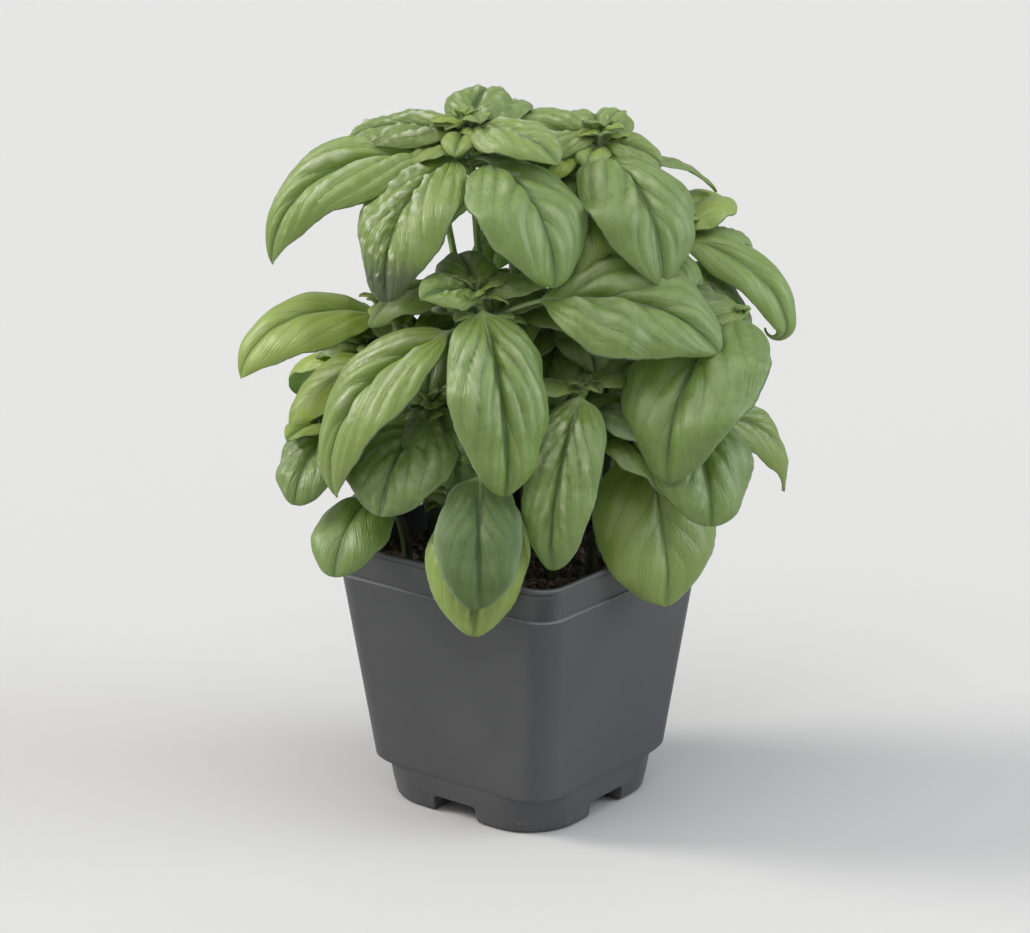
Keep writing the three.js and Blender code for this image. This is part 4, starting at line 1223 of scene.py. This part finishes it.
def basilLeaf():
    f = Finish("basilLeaf")
    place, across, facing = f.stored("leafPlace")
    half, long, seed = f.stored("leafSize")
    hue, fresh, crinkle = f.stored("leafKind")
    vein, crest, darkTip = f.stored("leafVein")
    out = abs(across)
    upper = f.ease(facing, -0.4, 0.4)
    blade = f.ease(place, -0.02, 0.05)
    sideways = across * half
    flat = f.point(place * long, sideways, seed)

    # veins: the midrib, the side veins that arch towards the tip, and the net between them
    nearVein = (0.5 - abs(vein.math("FRACT") - 0.5)) * long / plant["veins"]
    sideVein = f.ease(nearVein, 0.1, 0.9, 1.0, 0.0) * f.ease(out, 0.6, 0.95, 1.0, 0.0)
    sideVein = sideVein * f.ease(place, 0.35, 0.9, 0.6, 0.25)
    midrib = f.ease(abs(sideways), 0.25, 0.85, 1.0, 0.0) * f.ease(place, 0.8, 1.0, 1.0, 0.2)
    veins = midrib.math("MAXIMUM", sideVein * 0.85) * blade
    netWhere = f.point(vein * 4.2, out * half * 0.42, seed)
    netSettings = {"feature": "DISTANCE_TO_EDGE"}
    net = f.add("ShaderNodeTexVoronoi", netSettings, {"Vector": netWhere, "Scale": 1.0, "Randomness": 0.85})
    netLine = f.ease(net, 0.0, 0.09, 1.0, 0.0) * blade

    # colour: from deep to bright green by leaf, fresher when young, with painted highlight and shade on the
    # relief
    patches = f.noise(flat, 0.07, 3.0)
    mottle = f.noise(flat, 0.4, 4.0)
    base = f.mix(f.ease(hue, -1.0, 1.0), plant["deepGreen"], plant["brightGreen"])
    base = f.mix(f.ease(mottle, 0.3, 0.7, 0.0, 0.7), base, plant["paleGreen"])
    youngBase = f.ease(place, 0.0, 0.3, 0.25, 0.0) * f.ease(out, 0.1, 0.8, 1.0, 0.3)
    youthful = fresh.math("MINIMUM", 1.0) * 0.85 + youngBase
    base = f.mix(youthful.math("MINIMUM", 1.0), base, plant["freshGreen"])
    base = f.mix(f.ease(fresh, 1.0, 2.0), base, plant["yellowGreen"])
    base = f.mix(f.ease(patches, 0.45, 0.8, 0.0, 0.4), base, plant["patchGreen"])
    # painted highlight on the swellings, paler still on the blisters of crinkled leaves, and painted shade in
    # the valleys
    base = f.mix(f.ease(crest, 0.0, 0.9, 0.0, 0.65), base, plant["crestHighlight"])
    base = f.mix(f.ease(crest, 0.3, 1.0, 0.0, 0.65) * crinkle, base, plant["blisterHighlight"])
    valley = f.mix(1.0, base, plant["valleyShade"], "MULTIPLY")
    base = f.mix(f.ease(crest, -0.8, 0.15, 0.9, 0.0), base, valley)
    # painted shade over the leaves set in shade, hue below -1, with a painted sheen along their rims
    shaded = f.mix(1.0, base, plant["deepShade"], "MULTIPLY")
    inShade = f.ease(hue, -3.0, -1.0, 1.0, 0.0)
    base = f.mix(inShade, base, shaded)
    base = f.mix(inShade * f.ease(out, 0.74, 0.98, 0.0, 0.6), base, plant["shadedRimSheen"])
    # painted sheen: a paler band along every leaf's rim
    base = f.mix(f.ease(out, 0.9, 1.0, 0.0, 0.5), base, plant["rimSheenGreen"])
    base = f.mix(netLine * 0.14, base, plant["netGreen"])
    # painted shade along the midrib and side veins
    creased = f.mix(1.0, base, plant["creaseShade"], "MULTIPLY")
    base = f.mix(veins * 0.8, base, creased)
    base = f.mix(midrib * f.ease(place, 0.05, 0.35, 0.6, 0.0), base, plant["midribGreen"])
    # a darker patch at the tip of a leaf that has darkTip
    tip = f.ease(place + (mottle - 0.5) * 0.2, 0.68, 0.86) * darkTip
    base = f.mix(tip, base, plant["darkTipGreen"])
    underPatch = f.ease(mottle, 0.3, 0.7, 0.0, 0.35)
    under = f.mix(underPatch, plant["underGreen"], plant["underPatch"])
    under = f.mix(veins * 0.6, under, plant["underVein"])
    base = f.mix(upper, under, base)
    stalkGreen = f.mix(f.ease(patches, 0.3, 0.7), plant["stalkGreen"], plant["stalkPale"])
    base = f.mix(blade, stalkGreen, base)

    rough = 0.37 + inShade * 0.25 + 0.14 * mottle + 0.12 * veins + (1 - upper) * 0.15
    fineGrain = f.noise(flat, 2.2, 3.0)
    height = net.math("MINIMUM", 0.4) * (0.45 + crinkle * 1.1) * 1.3
    height = height + fineGrain * 0.3 + mottle * 0.25 - veins * 0.7
    normal = f.bump(height * (upper * 1.6 - 0.8), 0.55, 0.0009)
    gloss = f.surface(Base_Color=base, Roughness=rough, Normal=normal, IOR=1.55, Specular_IOR_Level=1.0,
                      Coat_Weight=0.12, Coat_Roughness=0.3, Sheen_Weight=0.22, Sheen_Roughness=0.45)
    glow = f.add("ShaderNodeBsdfTranslucent", values={"Color": color(*plant["throughGreen"])})
    through = (0.36 - veins * 0.1) * blade + 0.03
    return f.done(f.add("ShaderNodeMixShader", values={0: through, 1: gloss, 2: glow}))


def basilStem():
    f = Finish("basilStem")
    where = f.place()
    height = f.height(where)
    drawnOut = f.add("ShaderNodeMapping", values={"Vector": where, "Scale": (1.0, 1.0, 0.08)})
    streaks = f.noise(drawnOut, 900.0, 4.0)
    spots = f.noise(where, 120.0, 3.0)
    base = f.mix(f.ease(streaks, 0.35, 0.65), plant["stemGreen"], plant["stemPale"])
    bark = f.ease(height, 0.1, 0.15, 0.35, 0.0) * f.ease(spots, 0.4, 0.6)
    base = f.mix(bark, base, plant["stemBark"])
    # painted shade: the stems darken almost to black lower down, where the leaves and the pot shade them
    base = f.mix(f.ease(height, 0.12, 0.21, 0.93, 0.0), base, plant["stemShade"])
    normal = f.bump(streaks, 0.5, 0.0004)
    return f.done(f.surface(Base_Color=base, Roughness=0.42 + 0.2 * spots, Normal=normal, IOR=1.42))


def crownLeaves(stem, fineDraw):
    # the youngest leaves, folded over each other at the stem's tip
    crown = []
    largest, shrink = plant["crownSize"]
    first = fineDraw.uniform(0, 360)
    for number in range(plant["crownLeaves"]):
        size = largest - shrink * number + fineDraw.uniform(-1, 1)
        size *= stem.get("youngSize", 1.0)
        joint = stem["crown"][2] - 0.4 + 0.3 * number
        rise = 18 + 8 * number + fineDraw.uniform(-6, 6)
        crown.append((joint, first + plant["crownTurn"] * number, 1.0, size, size * 0.8, rise, 62, 0))
    return crown


def sideShoots(stem, fineDraw):
    # the pair of tiny leaves that grows in the corner between the stem and an old leaf's stalk
    shoots = []
    for height, toward, stalk, long in (leaf[:4] for leaf in stem["leaves"] + stem["inner"]):
        if long < plant["smallestWithShoots"]:
            continue
        for side in (-1, 1):
            size = fineDraw.uniform(*plant["shootSize"]) * stem.get("youngSize", 1.0)
            rise = fineDraw.uniform(15, 60)
            heading = toward + side * fineDraw.uniform(25, 70)
            shoots.append((height + 1.2, heading, fineDraw.uniform(2, 5), size, size * 0.66, rise, 70, 0))
    return shoots


def leafyStem(stem, draw, innerDraw, fineDraw):
    # the stem, then its leaves; each as points, faces and the values stored for its points
    def fineSway():
        return fineDraw.uniform(-1, 1)

    points, faces = stemTube(stem)
    ofStem = ((-1.0, 0, 1), (1.0, 60, 0), (0.0, 0, 0), (0.5, 0, 0))
    sheets = [(points, faces, [np.tile(value, (len(points), 1)) for value in ofStem])]
    for number, leaf in enumerate(stem["leaves"]):
        sheets.append(leafSheet(stem, leaf, draw, fineDraw, stem["looks"].get(number, {})))
    for leaf in stem["inner"]:
        # painted light: the inner leaves get the brightest green to lift the plant's shaded middle
        innerBrightened = {"fresh": 0.15 + 0.2 * fineDraw.random(), "hue": 1.0}
        sheets.append(leafSheet(stem, leaf, innerDraw, fineDraw, innerBrightened, plant["innerFineness"]))
    for leaf, look in stem.get("fillers", []):
        sheets.append(leafSheet(stem, leaf, fineSway, fineDraw, look, plant["innerFineness"]))
    for number, leaf in enumerate(crownLeaves(stem, fineDraw)):
        young = {"fresh": stem.get("youngFresh", 0.6) + 0.4 * fineDraw.random(), "crinkle": 0.35}
        sheet = leafSheet(stem, leaf, fineSway, fineDraw, young, plant["youngFineness"])
        if number < stem.get("youngLeaves", plant["crownLeaves"]):
            sheets.append(sheet)
    for leaf in sideShoots(stem, fineDraw):
        young = {"fresh": 0.35 + 0.4 * fineDraw.random(), "crinkle": 0.3}
        sheet = leafSheet(stem, leaf, fineSway, fineDraw, young, plant["youngFineness"])
        if leaf[0] < stem["crown"][2] - stem.get("bareBelow", 0):
            sheets.append(sheet)
    return sheets


def makePlant():
    leafFinish, stemFinish = basilLeaf(), basilStem()
    draw, innerDraw = makeDraw(plant["leafSeed"]), makeDraw(plant["innerSeed"])
    fineDraw = np.random.default_rng(plant["fineSeed"])
    turn = math.radians(plant["turn"])
    turning = np.array(((math.cos(turn), math.sin(turn), 0), (-math.sin(turn), math.cos(turn), 0), (0, 0, 1)))
    triangles = 0
    for name, stem in stems.items():
        sheets = leafyStem(stem, draw, innerDraw, fineDraw)
        allFaces = []
        count = 0
        for points, faces, values in sheets:
            allFaces += [tuple(corner + count for corner in face) for face in faces]
            count += len(points)
        allPoints = np.concatenate([sheet[0] for sheet in sheets]) @ turning
        leafy = makeObject("basil_" + name, allPoints, allFaces)
        mesh = leafy.data
        mesh.shade_smooth()
        mesh.materials.append(leafFinish)
        mesh.materials.append(stemFinish)
        which = np.zeros(len(mesh.polygons), dtype=np.int32)
        which[:len(sheets[0][1])] = 1
        mesh.polygons.foreach_set("material_index", which)
        for number, label in enumerate(("leafPlace", "leafSize", "leafKind", "leafVein")):
            addValues(mesh, label, np.concatenate([sheet[2][number] for sheet in sheets]))
        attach(leafy, "root")
        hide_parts("stem_" + name)
        triangles += sum(len(face) - 2 for face in allFaces)
    print("plant made,", triangles, "triangles")


makePlant()


# Floor, light and camera

studio = {
    "floor": (0.478, 0.472, 0.468),
    "floorFibre": (0.45, 0.445, 0.44),
    "floorReach": 9000.0,
    "sky": (0.97, 0.98, 1.0),
    "ambient": 0.59,
    "lights": (
        # name, degrees round from the plant's right, degrees above the floor, power, softness, colour
        ("window", 174.0, 35.0, 2.25, 20.0, (1.0, 0.98, 0.93)),
        ("skylight", 226.0, 44.0, 0.5, 50.0, (1.0, 1.0, 1.0)),
        ("overhead", 262.0, 76.0, 1.05, 60.0, (1.0, 1.0, 1.0)),
        ("reflector", -10.0, 25.0, 1.75, 44.0, (0.86, 0.94, 1.0)),
    ),
}
camera = {
    "focal": 112.2,  # for a picture 36 mm wide
    "distance": 1300.0,
    "height": 16.81,  # degrees above the horizon
    "aim": (2.25, 10.24, 150.0),  # right and up of the plant's axis, and height of that axis
}


def direction(turn, height):
    # the way towards something that stands so many degrees round and so many above the floor
    turn, height = math.radians(turn + plant["turn"]), math.radians(height)
    return np.array((math.cos(turn) * math.cos(height), math.sin(turn) * math.cos(height), math.sin(height)))


def addLight(name, turn, height, power, softness, tint):
    data = bpy.data.lights.new(name, "SUN")
    data.energy = power
    data.color = tint
    data.angle = math.radians(softness)
    light = bpy.data.objects.new(name, data)
    bpy.context.scene.collection.objects.link(light)
    towards = direction(turn, height)
    light.location = towards * 2.0  # only to be found easily: a sun shines the same from anywhere
    light.rotation_euler = (math.acos(towards[2]), 0, math.atan2(-towards[1], -towards[0]) - math.pi / 2)


def makeStudio():
    reach = studio["floorReach"]
    corners = [(-reach, -reach, 0), (reach, -reach, 0), (reach, reach, 0), (-reach, reach, 0)]
    floor = makeObject("studio_floor", corners, [(0, 1, 2, 3)])
    f = Finish("floorPaper")
    fibres = f.noise(f.place(), 40.0, 3.0)
    paper = f.mix(f.ease(fibres, 0.3, 0.7, 0.0, 0.03), studio["floor"], studio["floorFibre"])
    floor.data.materials.append(f.done(f.surface(Base_Color=paper, Roughness=0.9)))

    world = bpy.data.worlds.new("studio")
    world.use_nodes = True
    bpy.context.scene.world = world
    background = world.node_tree.nodes["Background"]
    background.inputs["Color"].default_value = color(*studio["sky"])
    background.inputs["Strength"].default_value = studio["ambient"]

    for light in studio["lights"]:
        addLight(*light)


def makeCamera():
    # looks at the plant from the photographed side, at the pot's corner
    data = bpy.data.cameras.new("camera")
    data.sensor_width = 36.0
    data.lens = camera["focal"]
    data.clip_end = 50.0
    made = bpy.data.objects.new("camera", data)
    bpy.context.scene.collection.objects.link(made)
    turn, height = math.radians(plant["turn"]), math.radians(camera["height"])
    right = np.array((math.cos(turn), math.sin(turn), 0))
    away = np.array((-math.sin(turn), math.cos(turn), 0))
    forward = away * math.cos(height) - np.array((0, 0, math.sin(height)))
    up = away * math.sin(height) + np.array((0, 0, math.cos(height)))
    aimRight, aimUp, aimHeight = camera["aim"]
    spot = np.array((0, 0, aimHeight)) - right * aimRight - up * aimUp - forward * camera["distance"]
    made.location = spot * metres
    made.rotation_euler = (math.pi / 2 - height, 0, turn)
    bpy.context.scene.camera = made


makeStudio()
makeCamera()
bpy.context.scene.view_settings.view_transform = "Standard"
print("studio made")
